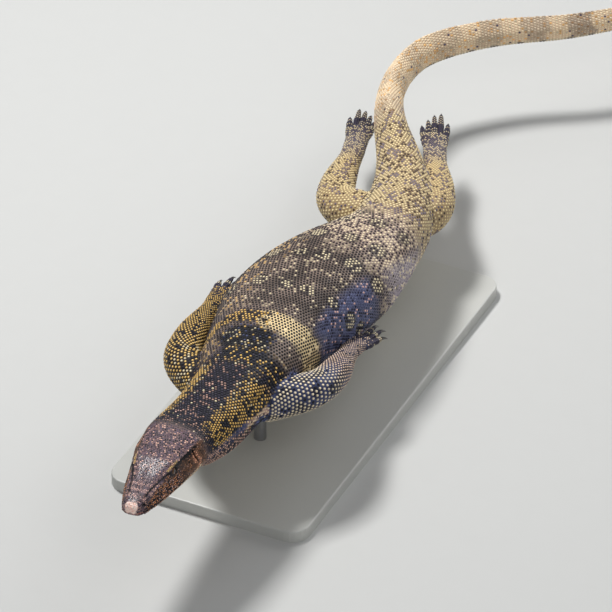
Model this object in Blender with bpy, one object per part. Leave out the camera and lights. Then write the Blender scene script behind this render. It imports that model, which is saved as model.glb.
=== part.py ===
# A water monitor lizard in its swimming pose, life size, on a plain display stand.
# Units are metres and +Z is up. The head points along -Y and the animal's left side is +X.
# The origin is the middle of the stand's underside, and the lizard's own heights are
# counted from the level of its snout tip, which is the level of the water it swims in.

import math

import bpy
import bmesh
import numpy as np
from mathutils import Matrix, Vector

# Driving sizes of the animal
HEAD_LENGTH = 0.098
NECK_END = 0.205
TORSO_END = 0.520
PELVIS_END = 0.622
TOTAL_LENGTH = 1.510
TAIL_CUTS = (0.745, 0.860, 1.030, 1.250)
WATER_LEVEL = 0.130
ANCHOR = 0.390
GAP = 0.0003

# Course of the backbone: distance from the snout, heading in degrees (0 runs along +Y
# and positive turns to the animal's left), and height of the body's middle above the water
SPINE = (
    (0.000, -4.6, 0.000),
    (0.060, -5.0, 0.001),
    (0.098, 0.6, 0.001),
    (0.125, 5.0, -0.003),
    (0.160, 0.0, -0.008),
    (0.200, -4.0, -0.012),
    (0.260, -7.5, -0.017),
    (0.310, -7.0, -0.021),
    (0.360, 4.0, -0.024),
    (0.420, 11.0, -0.028),
    (0.470, 10.0, -0.031),
    (0.510, -2.0, -0.035),
    (0.550, -11.0, -0.040),
    (0.620, -25.5, -0.045),
    (0.700, -34.0, -0.044),
    (0.760, -22.5, -0.041),
    (0.800, -7.0, -0.039),
    (0.834, 9.0, -0.037),
    (0.869, 36.0, -0.035),
    (0.914, 48.0, -0.033),
    (0.969, 58.0, -0.032),
    (1.020, 48.0, -0.032),
    (1.120, 36.0, -0.033),
    (1.240, 14.0, -0.035),
    (1.370, -6.0, -0.038),
    (1.510, -18.0, -0.040),
)

# Cross-sections behind the head: distance from the snout, width, height, and how much
# of a keel the top carries (0 on the round body, 1 on the tail's sharp upper edge)
BODY = (
    (0.098, 0.0635, 0.0430, 0.0),
    (0.125, 0.0670, 0.0520, 0.0),
    (0.155, 0.0695, 0.0570, 0.0),
    (0.200, 0.0730, 0.0630, 0.0),
    (0.250, 0.0910, 0.0710, 0.0),
    (0.300, 0.1070, 0.0780, 0.0),
    (0.350, 0.1210, 0.0840, 0.0),
    (0.395, 0.1240, 0.0850, 0.0),
    (0.435, 0.1180, 0.0830, 0.0),
    (0.475, 0.0980, 0.0770, 0.0),
    (0.515, 0.0790, 0.0690, 0.0),
    (0.560, 0.0720, 0.0640, 0.0),
    (0.605, 0.0610, 0.0590, 0.1),
    (0.650, 0.0480, 0.0550, 0.3),
    (0.710, 0.0350, 0.0490, 0.6),
    (0.780, 0.0260, 0.0420, 0.8),
    (0.880, 0.0205, 0.0340, 1.0),
    (1.050, 0.0155, 0.0265, 1.0),
    (1.220, 0.0115, 0.0200, 1.0),
    (1.380, 0.0070, 0.0120, 0.8),
    (1.510, 0.0028, 0.0036, 0.4),
)

# Head: share of its length, height of the crown, half width over the brows, half width
# at the lips, height of the mouth line, and height of the chin, all from the head's axis
HEAD = (
    (0.00, 0.0016, 0.0020, 0.0034, -0.0010, -0.0026),
    (0.02, 0.0046, 0.0050, 0.0074, -0.0019, -0.0052),
    (0.05, 0.0064, 0.0070, 0.0100, -0.0026, -0.0067),
    (0.10, 0.0080, 0.0086, 0.0124, -0.0032, -0.0080),
    (0.18, 0.0093, 0.0105, 0.0153, -0.0036, -0.0095),
    (0.36, 0.0118, 0.0140, 0.0204, -0.0044, -0.0120),
    (0.50, 0.0148, 0.0166, 0.0232, -0.0052, -0.0138),
    (0.61, 0.0176, 0.0188, 0.0254, -0.0052, -0.0154),
    (0.72, 0.0184, 0.0196, 0.0276, -0.0040, -0.0172),
    (0.86, 0.0192, 0.0214, 0.0298, -0.0024, -0.0194),
    (1.00, 0.0204, 0.0250, 0.0316, -0.0010, -0.0214),
)
MOUTH_CORNER = 0.75
NECK_EASE_START = 0.80
NECK_EASE_END = 1.25
LIP_GROOVE = 0.0012
LIP_ROLL = 0.0013

# Eye: place on the head, radius of the ball, how far it stands out, and its opening
EYE_AT = 0.550
EYE_UP = 0.0086
EYE_RADIUS = 0.0062
EYE_PROUD = 0.0004
EYE_LEAN = 0.34
EYE_OPENING = (0.0040, 0.0058, 0.0032)
LID_RIM = (0.0062, 0.0094, 0.0070)
SOCKET_GAP = 0.00035
NOSTRIL_AT = 0.10
NOSTRIL_UP = 0.0030
NOSTRIL_SIZE = (0.0024, 0.0021, 0.0013)
EAR_AT = 0.870
EAR_UP = 0.0068
EAR_SIZE = (0.0034, 0.0015, 0.0078)

# Limbs: the point of the spine that carries the girdle, then the joints as steps from it
SHOULDER = 0.235
HIP = 0.560
LIMB_JOINTS = {
    "foreleg_left": (
        (0.026, -0.018, -0.006),
        (0.062, 0.036, -0.012),
        (0.056, 0.112, -0.024),
        (0.056, 0.135, -0.027),
    ),
    "foreleg_right": (
        (-0.022, -0.022, -0.005),
        (-0.069, 0.019, -0.009),
        (-0.082, 0.108, -0.014),
        (-0.081, 0.134, -0.016),
    ),
    "hindleg_left": (
        (0.004, -0.006, -0.002),
        (0.017, 0.048, -0.008),
        (-0.020, 0.131, -0.014),
        (-0.035, 0.163, -0.016),
    ),
    "hindleg_right": (
        (-0.004, -0.006, -0.002),
        (-0.070, 0.017, -0.010),
        (-0.098, 0.111, -0.020),
        (-0.112, 0.156, -0.026),
    ),
}

# Limb thickness: share of the way from root to toes' root, half width and half depth
FORELEG = (
    (0.00, 0.0210, 0.0200),
    (0.22, 0.0196, 0.0180),
    (0.42, 0.0168, 0.0150),
    (0.58, 0.0150, 0.0134),
    (0.80, 0.0100, 0.0088),
    (0.87, 0.0108, 0.0074),
    (1.00, 0.0130, 0.0056),
)
HINDLEG = (
    (0.00, 0.0240, 0.0240),
    (0.20, 0.0230, 0.0215),
    (0.34, 0.0200, 0.0175),
    (0.50, 0.0170, 0.0150),
    (0.74, 0.0118, 0.0102),
    (0.82, 0.0118, 0.0088),
    (1.00, 0.0126, 0.0062),
)
FORELEG_CUTS = (0.46, 0.82)
HINDLEG_CUTS = (0.36, 0.79)

# Lengths of the body that the limbs of each girdle are fitted against
FORE_TRUNK = ("neck", "torso")
HIND_TRUNK = ("torso", "pelvis", "tail_1", "tail_2")

# Toes: how far each turns from the foot's own line, in degrees, and its length
FORE_TOES = ((-11, 0.018), (-5, 0.026), (1, 0.029), (7, 0.027), (14, 0.018))
HIND_TOES = ((-5, 0.025), (-2, 0.034), (0, 0.041), (2, 0.046), (6, 0.029))
TOE_RADIUS = 0.0035
TOE_INSET = 0.75
TOE_ROOT_DEPTH = 0.004
CLAW_LENGTH = 0.011
CLAW_DROP = 0.0045

# Display stand
BASE_SIZE = (0.200, 0.440, 0.012)
BASE_CORNER = 0.018
BASE_BEVEL = 0.0015
ROD_RADIUS = 0.006
ROD_STATIONS = {"stand_rod_front": 0.285, "stand_rod_rear": 0.480}

# Colours and finish of the plain source materials
SKIN_DARK = (0.075, 0.062, 0.055)
SKIN_GOLD = (0.235, 0.170, 0.085)
EYE_BROWN = (0.030, 0.018, 0.010)
STAND_GREY = (0.62, 0.61, 0.59)
STEEL = (0.60, 0.60, 0.61)

# How finely the lengths are divided, and how far one cutter laps over the next
BODY_SIDES = 22
TAIL_SIDES = 14
LIMB_SIDES = 12
TAIL_STEP = 0.012
WALK_POINTS = 1351
CUTTER_LAP = 0.002


def clear_scene():
    for thing in list(bpy.data.objects):
        bpy.data.objects.remove(thing, do_unlink=True)


def smooth_read(table, column, where):
    """Reads a column of a table at any place, on a curve that never overshoots its rows."""
    rows = np.array(table, float)
    x = rows[:, 0]
    y = rows[:, column]
    step = np.diff(x)
    rise = np.diff(y) / step
    slope = np.zeros(len(x))
    slope[0] = rise[0]
    slope[-1] = rise[-1]
    same_way = rise[:-1] * rise[1:] > 0
    inner = np.zeros(len(x) - 2)
    inner[same_way] = 2 * rise[:-1][same_way] * rise[1:][same_way] / (rise[:-1] + rise[1:])[same_way]
    slope[1:-1] = inner
    where = np.clip(np.asarray(where, float), x[0], x[-1])
    k = np.clip(np.searchsorted(x, where, side="right") - 1, 0, len(step) - 1)
    t = (where - x[k]) / step[k]
    return (
        y[k] * (1 + 2 * t) * (1 - t) ** 2
        + y[k + 1] * t**2 * (3 - 2 * t)
        + step[k] * t * (1 - t) * (slope[k] * (1 - t) - slope[k + 1] * t)
    )


def spine_course():
    """Walks the backbone in small steps and returns distances, points and tangents."""
    walk = np.linspace(0, TOTAL_LENGTH, WALK_POINTS)
    heading = np.radians(smooth_read(SPINE, 1, walk))
    height = smooth_read(SPINE, 2, walk)
    climb = np.gradient(height, walk)
    level = np.sqrt(np.clip(1 - climb**2, 0.01, 1))
    tangent = np.stack([np.sin(heading) * level, np.cos(heading) * level, climb], axis=1)
    middle = (tangent[1:] + tangent[:-1]) / 2 * np.diff(walk)[:, None]
    points = np.vstack([np.zeros(3), np.cumsum(middle, axis=0)])
    points[:, 2] = height
    anchor = points[np.argmin(abs(walk - ANCHOR))]
    points -= (anchor[0], anchor[1], -WATER_LEVEL)
    return walk, points, tangent


WALK, SPINE_POINTS, SPINE_TANGENTS = spine_course()


def spine_frame(distance):
    """Middle of the body at a distance, with its sideways, upward and backward directions."""
    point = np.array([np.interp(distance, WALK, SPINE_POINTS[:, k]) for k in range(3)])
    back = np.array([np.interp(distance, WALK, SPINE_TANGENTS[:, k]) for k in range(3)])
    back /= np.linalg.norm(back)
    side = np.array([back[1], -back[0], 0.0])
    side /= np.linalg.norm(side)
    return point, side, np.cross(side, back), back


def head_half(share):
    """Half outline of the head at a share of its length, from the crown round to the chin."""
    top, brow, lip, mouth, chin = (float(smooth_read(HEAD, k, share)) for k in range(1, 6))
    closing = np.clip((MOUTH_CORNER - share) / 0.05, 0, 1)
    small = np.clip(share / 0.06, 0.25, 1)
    groove = LIP_GROOVE * closing * small
    roll = LIP_ROLL * small
    cheek = top - 0.62 * (top - mouth)
    return np.array(
        [
            (0.0, top),
            (0.34 * brow, top),
            (0.70 * brow, top - 0.02 * (top - chin)),
            (1.00 * brow, top - 0.10 * (top - chin)),
            (brow + 0.26 * (lip - brow), top - 0.26 * (top - mouth)),
            (brow + 0.62 * (lip - brow), cheek),
            (brow + 0.93 * (lip - brow), mouth + 0.22 * (top - mouth)),
            (lip, mouth + roll),
            (lip - groove, mouth),
            (lip - 0.02 * lip, mouth - roll),
            (0.93 * lip, mouth - 0.42 * (mouth - chin)),
            (0.74 * lip, mouth - 0.80 * (mouth - chin)),
            (0.38 * lip, chin + 0.02 * (mouth - chin)),
            (0.0, chin),
        ]
    )


def head_ring(share):
    """Whole outline of the head, clockwise from the crown over the left side."""
    half = head_half(share)
    mirrored = half[-2:0:-1] * (-1, 1)
    return np.vstack([half, mirrored])


def body_ring(distance, sides, grow=0.0):
    """Outline of neck, trunk or tail, from the top over the left side."""
    width = float(smooth_read(BODY, 1, distance)) / 2 + grow
    height = float(smooth_read(BODY, 2, distance)) / 2 + grow
    keel = float(smooth_read(BODY, 3, distance))
    angle = np.linspace(0, 2 * math.pi, sides, endpoint=False)
    up = np.cos(angle)
    out = np.sin(angle)
    upper = 2 / (2.25 - 0.75 * keel)
    lower = 2 / 2.5
    power = np.where(up > 0, upper, lower)
    x = width * np.sign(out) * abs(out) ** power
    z = height * np.sign(up) * abs(up) ** np.where(up > 0, 1.0, lower)
    narrowing = 1 - 0.42 * keel * np.clip(up, 0, 1) ** 1.5
    return np.stack([x * narrowing, z], axis=1)


def section(distance, sides, grow=0.0):
    """Outline of the body at a distance, with the head's own outline easing into the neck's."""
    share = distance / HEAD_LENGTH
    if share >= NECK_EASE_END:
        return body_ring(distance, sides, grow)
    head = head_ring(min(share, 1.0))
    if sides != len(head):
        raise ValueError("the head and the neck need the same number of sides")
    ease = np.clip((share - NECK_EASE_START) / (NECK_EASE_END - NECK_EASE_START), 0, 1)
    ease = ease * ease * (3 - 2 * ease)
    neck = body_ring(max(distance, BODY[0][0]), sides, grow)
    outward = head / np.maximum(np.linalg.norm(head, axis=1), 1e-6)[:, None]
    return (head + outward * grow) * (1 - ease) + neck * ease


def mesh_object(name, points, faces):
    mesh = bpy.data.meshes.new(name)
    mesh.from_pydata([tuple(p) for p in points], [], faces)
    mesh.validate()
    shape = bmesh.new()
    shape.from_mesh(mesh)
    bmesh.ops.recalc_face_normals(shape, faces=shape.faces)
    shape.to_mesh(mesh)
    shape.free()
    thing = bpy.data.objects.new(name, mesh)
    bpy.context.scene.collection.objects.link(thing)
    return thing


def loft(name, rings):
    """Joins rings of equal size into one closed tube with a fan at each end."""
    sides = len(rings[0])
    points = [p for ring in rings for p in ring]
    faces = []
    for k in range(len(rings) - 1):
        for i in range(sides):
            j = (i + 1) % sides
            low = k * sides
            high = low + sides
            faces.append((low + i, low + j, high + j))
            faces.append((low + i, high + j, high + i))
    for ring, first, turn in ((rings[0], 0, 1), (rings[-1], (len(rings) - 1) * sides, -1)):
        centre = len(points)
        points.append(np.mean(ring, axis=0))
        for i in range(sides):
            j = (i + 1) % sides
            pair = (first + j, first + i) if turn > 0 else (first + i, first + j)
            faces.append((centre,) + pair)
    return mesh_object(name, points, faces)


def body_piece(name, stations, sides, grow=0.0):
    """One length of the body between its first and its last station."""
    rings = []
    for distance in stations:
        point, side, up, _ = spine_frame(distance)
        outline = section(distance, sides, grow)
        rings.append(point + outline[:, :1] * side + outline[:, 1:] * up)
    return loft(name, rings)


def between(start, end, count):
    """Even stations of a length that leaves half of the gap free at each end."""
    return np.linspace(start + GAP / 2, end - GAP / 2, count)


def round_course(joints, count=200):
    """A smooth line through a limb's joints, with the direction and the share at each point."""
    p = [np.array(j, float) for j in joints]
    p = [2 * p[0] - p[1]] + p + [2 * p[-1] - p[-2]]
    line = []
    for k in range(1, len(p) - 2):
        for t in np.linspace(0, 1, count, endpoint=False):
            a = 2 * p[k]
            b = p[k + 1] - p[k - 1]
            c = 2 * p[k - 1] - 5 * p[k] + 4 * p[k + 1] - p[k + 2]
            d = -p[k - 1] + 3 * p[k] - 3 * p[k + 1] + p[k + 2]
            line.append(0.5 * (a + b * t + c * t**2 + d * t**3))
    line.append(p[-2])
    line = np.array(line)
    run = np.concatenate([[0], np.cumsum(np.linalg.norm(np.diff(line, axis=0), axis=1))])
    return line, run / run[-1], run[-1]


class Limb:
    """A limb's course from its girdle to the root of its toes, with its flat side up."""

    def __init__(self, joints, thickness):
        self.line, self.share, self.length = round_course(joints)
        self.thickness = thickness

    def frame(self, share):
        point = np.array([np.interp(share, self.share, self.line[:, k]) for k in range(3)])
        ahead = np.array([np.interp(min(share + 0.01, 1), self.share, self.line[:, k]) for k in range(3)])
        behind = np.array([np.interp(max(share - 0.01, 0), self.share, self.line[:, k]) for k in range(3)])
        along = (ahead - behind) / np.linalg.norm(ahead - behind)
        side = np.cross(along, (0, 0, 1))
        side /= np.linalg.norm(side)
        return point, side, np.cross(side, along), along

    def ring(self, share, sides):
        point, side, up, _ = self.frame(share)
        wide = float(smooth_read(self.thickness, 1, share))
        deep = float(smooth_read(self.thickness, 2, share))
        angle = np.linspace(0, 2 * math.pi, sides, endpoint=False)
        return point + np.outer(np.sin(angle) * wide, side) + np.outer(np.cos(angle) * deep, up)


def limb_piece(name, limb, start, end, count):
    """One bone's length of a limb, short of its neighbours by half of the gap."""
    trim = GAP / 2 / limb.length
    low = start + (trim if start > 0 else 0)
    high = end - (trim if end < 1 else 0)
    return loft(name, [limb.ring(share, LIMB_SIDES) for share in np.linspace(low, high, count)])


def toe(name, root, along, side, up, length, sides=6):
    """A tapering toe with its knuckles and a hooked claw, as one closed tube."""
    rings = []
    knuckles = ((-0.25, 0.95), (0.10, 1.00), (0.38, 0.84), (0.55, 0.92), (0.80, 0.70), (1.00, 0.56))
    for share, thick in knuckles:
        centre = root + along * length * share
        rings.append((centre, TOE_RADIUS * thick, TOE_RADIUS * thick * 0.9))
    for share, thick in ((0.06, 0.46), (0.45, 0.30), (0.80, 0.16), (1.00, 0.05)):
        centre = root + along * (length + CLAW_LENGTH * share) - up * CLAW_DROP * share**1.8
        rings.append((centre, TOE_RADIUS * thick * 0.8, TOE_RADIUS * thick * 1.2))
    angle = np.linspace(0, 2 * math.pi, sides, endpoint=False)
    shaped = [
        centre + np.outer(np.sin(angle) * wide, side) + np.outer(np.cos(angle) * deep, up)
        for centre, wide, deep in rings
    ]
    return loft(name, shaped)


def apply_boolean(thing, operation, others, solver="EXACT"):
    """Cuts the others away, or joins them in, and removes them afterwards."""
    group = bpy.data.collections.new(thing.name + "_others")
    for other in others:
        group.objects.link(other)
    modifier = thing.modifiers.new("shape", "BOOLEAN")
    modifier.operation = operation
    modifier.operand_type = "COLLECTION"
    modifier.collection = group
    modifier.solver = solver
    bpy.context.view_layer.update()
    graph = bpy.context.evaluated_depsgraph_get()
    made = bpy.data.meshes.new_from_object(thing.evaluated_get(graph))
    thing.modifiers.clear()
    thing.data = made
    for other in list(group.objects):
        bpy.data.objects.remove(other, do_unlink=True)
    bpy.data.collections.remove(group)
    keep_largest(thing)


def keep_largest(thing):
    """Leaves only the closed surface that fills the most space."""
    shape = bmesh.new()
    shape.from_mesh(thing.data)
    bmesh.ops.triangulate(shape, faces=shape.faces)
    bmesh.ops.remove_doubles(shape, verts=shape.verts, dist=2e-6)
    bmesh.ops.dissolve_degenerate(shape, edges=shape.edges, dist=2e-6)
    waiting = set(shape.faces)
    groups = []
    while waiting:
        start = waiting.pop()
        found = [start]
        queue = [start]
        while queue:
            face = queue.pop()
            for edge in face.edges:
                for near in edge.link_faces:
                    if near in waiting:
                        waiting.remove(near)
                        found.append(near)
                        queue.append(near)
        groups.append(found)
    groups.sort(key=surface_volume)
    scraps = [face for group in groups[:-1] for face in group]
    bmesh.ops.delete(shape, geom=scraps, context="FACES")
    bmesh.ops.triangulate(shape, faces=shape.faces)
    shape.to_mesh(thing.data)
    shape.free()


def surface_volume(faces):
    total = 0.0
    for face in faces:
        first = face.verts[0].co
        for k in range(1, len(face.verts) - 1):
            total += first.dot(face.verts[k].co.cross(face.verts[k + 1].co)) / 6
    return abs(total)


def ellipsoid(name, centre, axes, sizes, rows=10, columns=14):
    """A closed ball scaled along three directions."""
    axes = np.array(axes)
    if np.linalg.det(axes) < 0:
        axes[2] *= -1
    shape = bmesh.new()
    bmesh.ops.create_uvsphere(shape, u_segments=columns, v_segments=rows, radius=1.0)
    turn = Matrix(axes.T.tolist()).to_4x4()
    scale = Matrix.Diagonal((*sizes, 1.0))
    shape.transform(Matrix.Translation(Vector(centre)) @ turn @ scale)
    mesh = bpy.data.meshes.new(name)
    bmesh.ops.recalc_face_normals(shape, faces=shape.faces)
    shape.to_mesh(mesh)
    shape.free()
    thing = bpy.data.objects.new(name, mesh)
    bpy.context.scene.collection.objects.link(thing)
    return thing


def head_place(share, out, up_by, hand):
    """A point on the head in its own directions, with hand +1 for the left side."""
    point, side, up, back = spine_frame(share * HEAD_LENGTH)
    return point + side * out * hand + up * up_by, side * hand, up, back


def surface_out(share, height):
    """Half width of the head at a share of its length and a height over its axis."""
    half = head_half(share)
    outer = half[3:12]
    order = np.argsort(outer[:, 1])
    return float(np.interp(height, outer[order, 1], outer[order, 0]))


def eye_place(hand):
    """Middle of an eyeball, and its outward, backward and upward directions."""
    out = surface_out(EYE_AT, EYE_UP) - EYE_RADIUS + EYE_PROUD
    centre, side, up, back = head_place(EYE_AT, out, EYE_UP, hand)
    outward = side + up * EYE_LEAN
    outward /= np.linalg.norm(outward)
    return centre, (outward, back, np.cross(outward, back))


def make_head():
    """Head with lips, brows, lids round the eye sockets, nostrils and ear slits."""
    tip = HEAD_LENGTH * np.array([0.0, 0.012, 0.035, 0.07, 0.12])
    rest = np.linspace(0.17, 1.0, 19) * HEAD_LENGTH
    rest[-1] -= GAP / 2
    stations = np.concatenate([tip, rest])
    sides = len(head_ring(0.5))
    head = body_piece("head", stations, sides)
    rims = []
    cutters = []
    for hand in (1, -1):
        centre, axes = eye_place(hand)
        rims.append(ellipsoid("lid", centre + axes[0] * EYE_PROUD, axes, LID_RIM))
        socket = EYE_RADIUS + SOCKET_GAP
        cutters.append(ellipsoid("socket", centre, axes, (socket,) * 3))
        cutters.append(ellipsoid("opening", centre + axes[0] * EYE_RADIUS, axes, EYE_OPENING))
        nostril_out = surface_out(NOSTRIL_AT, NOSTRIL_UP)
        nostril, side, up, back = head_place(NOSTRIL_AT, nostril_out, NOSTRIL_UP, hand)
        cutters.append(ellipsoid("nostril", nostril, (side, back, up), NOSTRIL_SIZE, 6, 8))
        ear_out = surface_out(EAR_AT, EAR_UP)
        ear, side, up, back = head_place(EAR_AT, ear_out, EAR_UP, hand)
        cutters.append(ellipsoid("ear", ear, (side, back, up), EAR_SIZE, 8, 8))
    apply_boolean(head, "UNION", rims)
    apply_boolean(head, "DIFFERENCE", cutters)
    return head


def make_eyes():
    eyes = []
    for name, hand in (("eye_left", 1), ("eye_right", -1)):
        centre, axes = eye_place(hand)
        eyes.append(ellipsoid(name, centre, axes, (EYE_RADIUS,) * 3, 8, 12))
    return eyes


def trunk_lengths():
    """Stations and number of sides of each length of the body behind the head."""
    lengths = {
        "neck": (between(HEAD_LENGTH, NECK_END, 9), len(head_ring(0.5))),
        "torso": (between(NECK_END, TORSO_END, 25), BODY_SIDES),
        "pelvis": (between(TORSO_END, PELVIS_END, 11), BODY_SIDES),
    }
    ends = (PELVIS_END,) + TAIL_CUTS + (TOTAL_LENGTH,)
    for number, (start, end) in enumerate(zip(ends[:-1], ends[1:]), start=1):
        count = max(8, round((end - start) / TAIL_STEP))
        lengths[f"tail_{number}"] = (between(start, end, count), TAIL_SIDES)
    return lengths


def make_trunk_and_tail():
    return [body_piece(name, *length) for name, length in trunk_lengths().items()]


def body_cutters(names):
    """Lengths of the body grown by the gap, which limbs and rods are cut against."""
    lengths = trunk_lengths()
    cutters = []
    for name in names:
        stations, sides = lengths[name]
        lapped = np.concatenate([[stations[0] - CUTTER_LAP], stations, [stations[-1] + CUTTER_LAP]])
        cutters.append(body_piece("cutter", lapped, sides, GAP))
    return cutters


def make_limb(name, girdle, thickness, cuts, toes, lower, foot, trunk):
    """Upper and lower leg and foot, each one node, meeting face to face."""
    middle, _, _, _ = spine_frame(girdle)
    joints = [middle + np.array(step) for step in LIMB_JOINTS[name]]
    limb = Limb(joints, thickness)
    pieces = [
        limb_piece(name + "_upper", limb, 0.0, cuts[0], 9),
        limb_piece(name + "_" + lower, limb, cuts[0], cuts[1], 8),
        limb_piece(name + "_" + foot, limb, cuts[1], 1.0, 5),
    ]
    root, side, up, along = limb.frame(1.0)
    outward = side if name.endswith("left") else -side
    made = []
    spread = np.linspace(-1, 1, len(toes))
    half = thickness[-1][1] - TOE_RADIUS * TOE_INSET
    for number, ((turn, length), place) in enumerate(zip(toes, spread)):
        angle = math.radians(turn)
        direction = along * math.cos(angle) + outward * math.sin(angle)
        across = np.cross(direction, up)
        start = root + outward * half * place - along * TOE_ROOT_DEPTH * (1 + abs(place))
        made.append(toe(f"toe_{number}", start, direction, across, up, length))
    apply_boolean(pieces[2], "UNION", made)
    for piece in pieces:
        apply_boolean(piece, "DIFFERENCE", body_cutters(trunk))
    return pieces


def make_base():
    wide, long, thick = BASE_SIZE
    shape = bmesh.new()
    bmesh.ops.create_cube(shape, size=1.0)
    bmesh.ops.scale(shape, vec=BASE_SIZE, verts=shape.verts)
    bmesh.ops.translate(shape, vec=(0, 0, thick / 2), verts=shape.verts)
    upright = [e for e in shape.edges if abs(e.verts[0].co.z - e.verts[1].co.z) > thick / 2]
    bmesh.ops.bevel(
        shape, geom=upright, offset=BASE_CORNER, segments=5, profile=0.5, affect="EDGES"
    )
    rim = [e for e in shape.edges if min(v.co.z for v in e.verts) > thick - 1e-6]
    bmesh.ops.bevel(shape, geom=rim, offset=BASE_BEVEL, segments=2, profile=0.5, affect="EDGES")
    mesh = bpy.data.meshes.new("stand_base")
    shape.to_mesh(mesh)
    shape.free()
    base = bpy.data.objects.new("stand_base", mesh)
    bpy.context.scene.collection.objects.link(base)
    return base


def make_rod(name, station):
    """An upright rod from the plate to the belly, cut to the belly's own curve."""
    middle, _, _, _ = spine_frame(station)
    low = BASE_SIZE[2] + GAP
    shape = bmesh.new()
    bmesh.ops.create_cone(
        shape,
        cap_ends=True,
        segments=20,
        radius1=ROD_RADIUS,
        radius2=ROD_RADIUS,
        depth=middle[2] - low,
    )
    bmesh.ops.translate(shape, vec=(middle[0], middle[1], (middle[2] + low) / 2), verts=shape.verts)
    mesh = bpy.data.meshes.new(name)
    shape.to_mesh(mesh)
    shape.free()
    rod = bpy.data.objects.new(name, mesh)
    bpy.context.scene.collection.objects.link(rod)
    apply_boolean(rod, "DIFFERENCE", body_cutters(["torso"]))
    return rod


def finish(thing, colour, roughness, metallic=0.0):
    """Gives a node its own plain material and smooth shading."""
    material = bpy.data.materials.new(thing.name)
    material.use_nodes = True
    shader = material.node_tree.nodes["Principled BSDF"]
    shader.inputs["Base Color"].default_value = (*colour, 1.0)
    shader.inputs["Roughness"].default_value = roughness
    shader.inputs["Metallic"].default_value = metallic
    thing.data.materials.clear()
    thing.data.materials.append(material)
    thing.data.shade_smooth()
    thing.data.set_sharp_from_angle(angle=math.radians(40))


def main():
    clear_scene()
    finish(make_head(), SKIN_DARK, 0.5)
    for eye in make_eyes():
        finish(eye, EYE_BROWN, 0.15)
    for piece in make_trunk_and_tail():
        colour = SKIN_GOLD if piece.name.startswith("tail") else SKIN_DARK
        finish(piece, colour, 0.5)
    for side in ("left", "right"):
        fore = make_limb(
            "foreleg_" + side, SHOULDER, FORELEG, FORELEG_CUTS, FORE_TOES, "forearm", "hand", FORE_TRUNK
        )
        hind = make_limb(
            "hindleg_" + side, HIP, HINDLEG, HINDLEG_CUTS, HIND_TOES, "shank", "foot", HIND_TRUNK
        )
        for piece in fore + hind:
            finish(piece, SKIN_GOLD, 0.5)
    finish(make_base(), STAND_GREY, 0.45)
    for name, station in ROD_STATIONS.items():
        finish(make_rod(name, station), STEEL, 0.3, 1.0)


main()
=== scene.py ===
# %% [markdown]
# # A swimming water monitor, as a museum model
# This lesson dresses the plain solids of a swimming water monitor lizard. The solids give the
# outline and the sizes. Here the animal gets one skin without seams, then its scales, its
# eyes and claws, and the plain stand it is shown on.
# Units are metres, +Z is up, the head points along -Y and the animal's left side is +X.

# %% The frame
import math

import bmesh
import bpy
import numpy as np
from mathutils import Matrix, Vector
from mathutils.bvhtree import BVHTree
from mathutils.kdtree import KDTree


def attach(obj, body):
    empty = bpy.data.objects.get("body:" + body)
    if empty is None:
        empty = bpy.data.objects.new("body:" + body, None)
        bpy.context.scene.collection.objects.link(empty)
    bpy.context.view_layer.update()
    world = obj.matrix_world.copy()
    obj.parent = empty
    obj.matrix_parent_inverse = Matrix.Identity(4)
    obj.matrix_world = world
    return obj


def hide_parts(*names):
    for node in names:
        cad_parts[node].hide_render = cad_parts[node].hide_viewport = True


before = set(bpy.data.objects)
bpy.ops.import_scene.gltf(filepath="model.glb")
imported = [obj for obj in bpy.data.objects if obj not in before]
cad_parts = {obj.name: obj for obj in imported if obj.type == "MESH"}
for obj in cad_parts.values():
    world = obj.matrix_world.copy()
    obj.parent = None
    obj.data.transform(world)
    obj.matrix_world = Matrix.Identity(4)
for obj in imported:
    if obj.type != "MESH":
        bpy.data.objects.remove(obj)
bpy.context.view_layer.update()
bpy.ops.object.select_all(action="DESELECT")
print("solids loaded:", len(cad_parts))

# %% [markdown]
# ## The plan of the animal
# A real monitor is one long tube of flesh on a bending backbone. The same plan that shaped
# the solids is written here again: the course of the backbone, the width and height of the
# body along it, the outline of the head, and the joints of the limbs. A sculpted mesh could
# do it too, but a plan keeps the skin and the solids in step, and every scale can be placed
# by its distance from the snout and its distance round the body.

# %% Driving sizes
HEAD_LENGTH = 0.098
TOTAL_LENGTH = 1.510
WATER_LEVEL = 0.130
ANCHOR = 0.390

# distance, heading in degrees, height of the body's middle over the swimming level
SPINE = (
    (0.000, -4.6, 0.000),
    (0.060, -5.0, 0.001),
    (0.098, 0.6, 0.001),
    (0.125, 5.0, -0.003),
    (0.160, 0.0, -0.008),
    (0.200, -4.0, -0.012),
    (0.260, -7.5, -0.017),
    (0.310, -7.0, -0.021),
    (0.360, 4.0, -0.024),
    (0.420, 11.0, -0.028),
    (0.470, 10.0, -0.031),
    (0.510, -2.0, -0.035),
    (0.550, -11.0, -0.040),
    (0.620, -25.5, -0.045),
    (0.700, -34.0, -0.044),
    (0.760, -22.5, -0.041),
    (0.800, -7.0, -0.039),
    (0.834, 9.0, -0.037),
    (0.869, 36.0, -0.035),
    (0.914, 48.0, -0.033),
    (0.969, 58.0, -0.032),
    (1.020, 48.0, -0.032),
    (1.120, 36.0, -0.033),
    (1.240, 14.0, -0.035),
    (1.370, -6.0, -0.038),
    (1.510, -18.0, -0.040),
)

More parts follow.
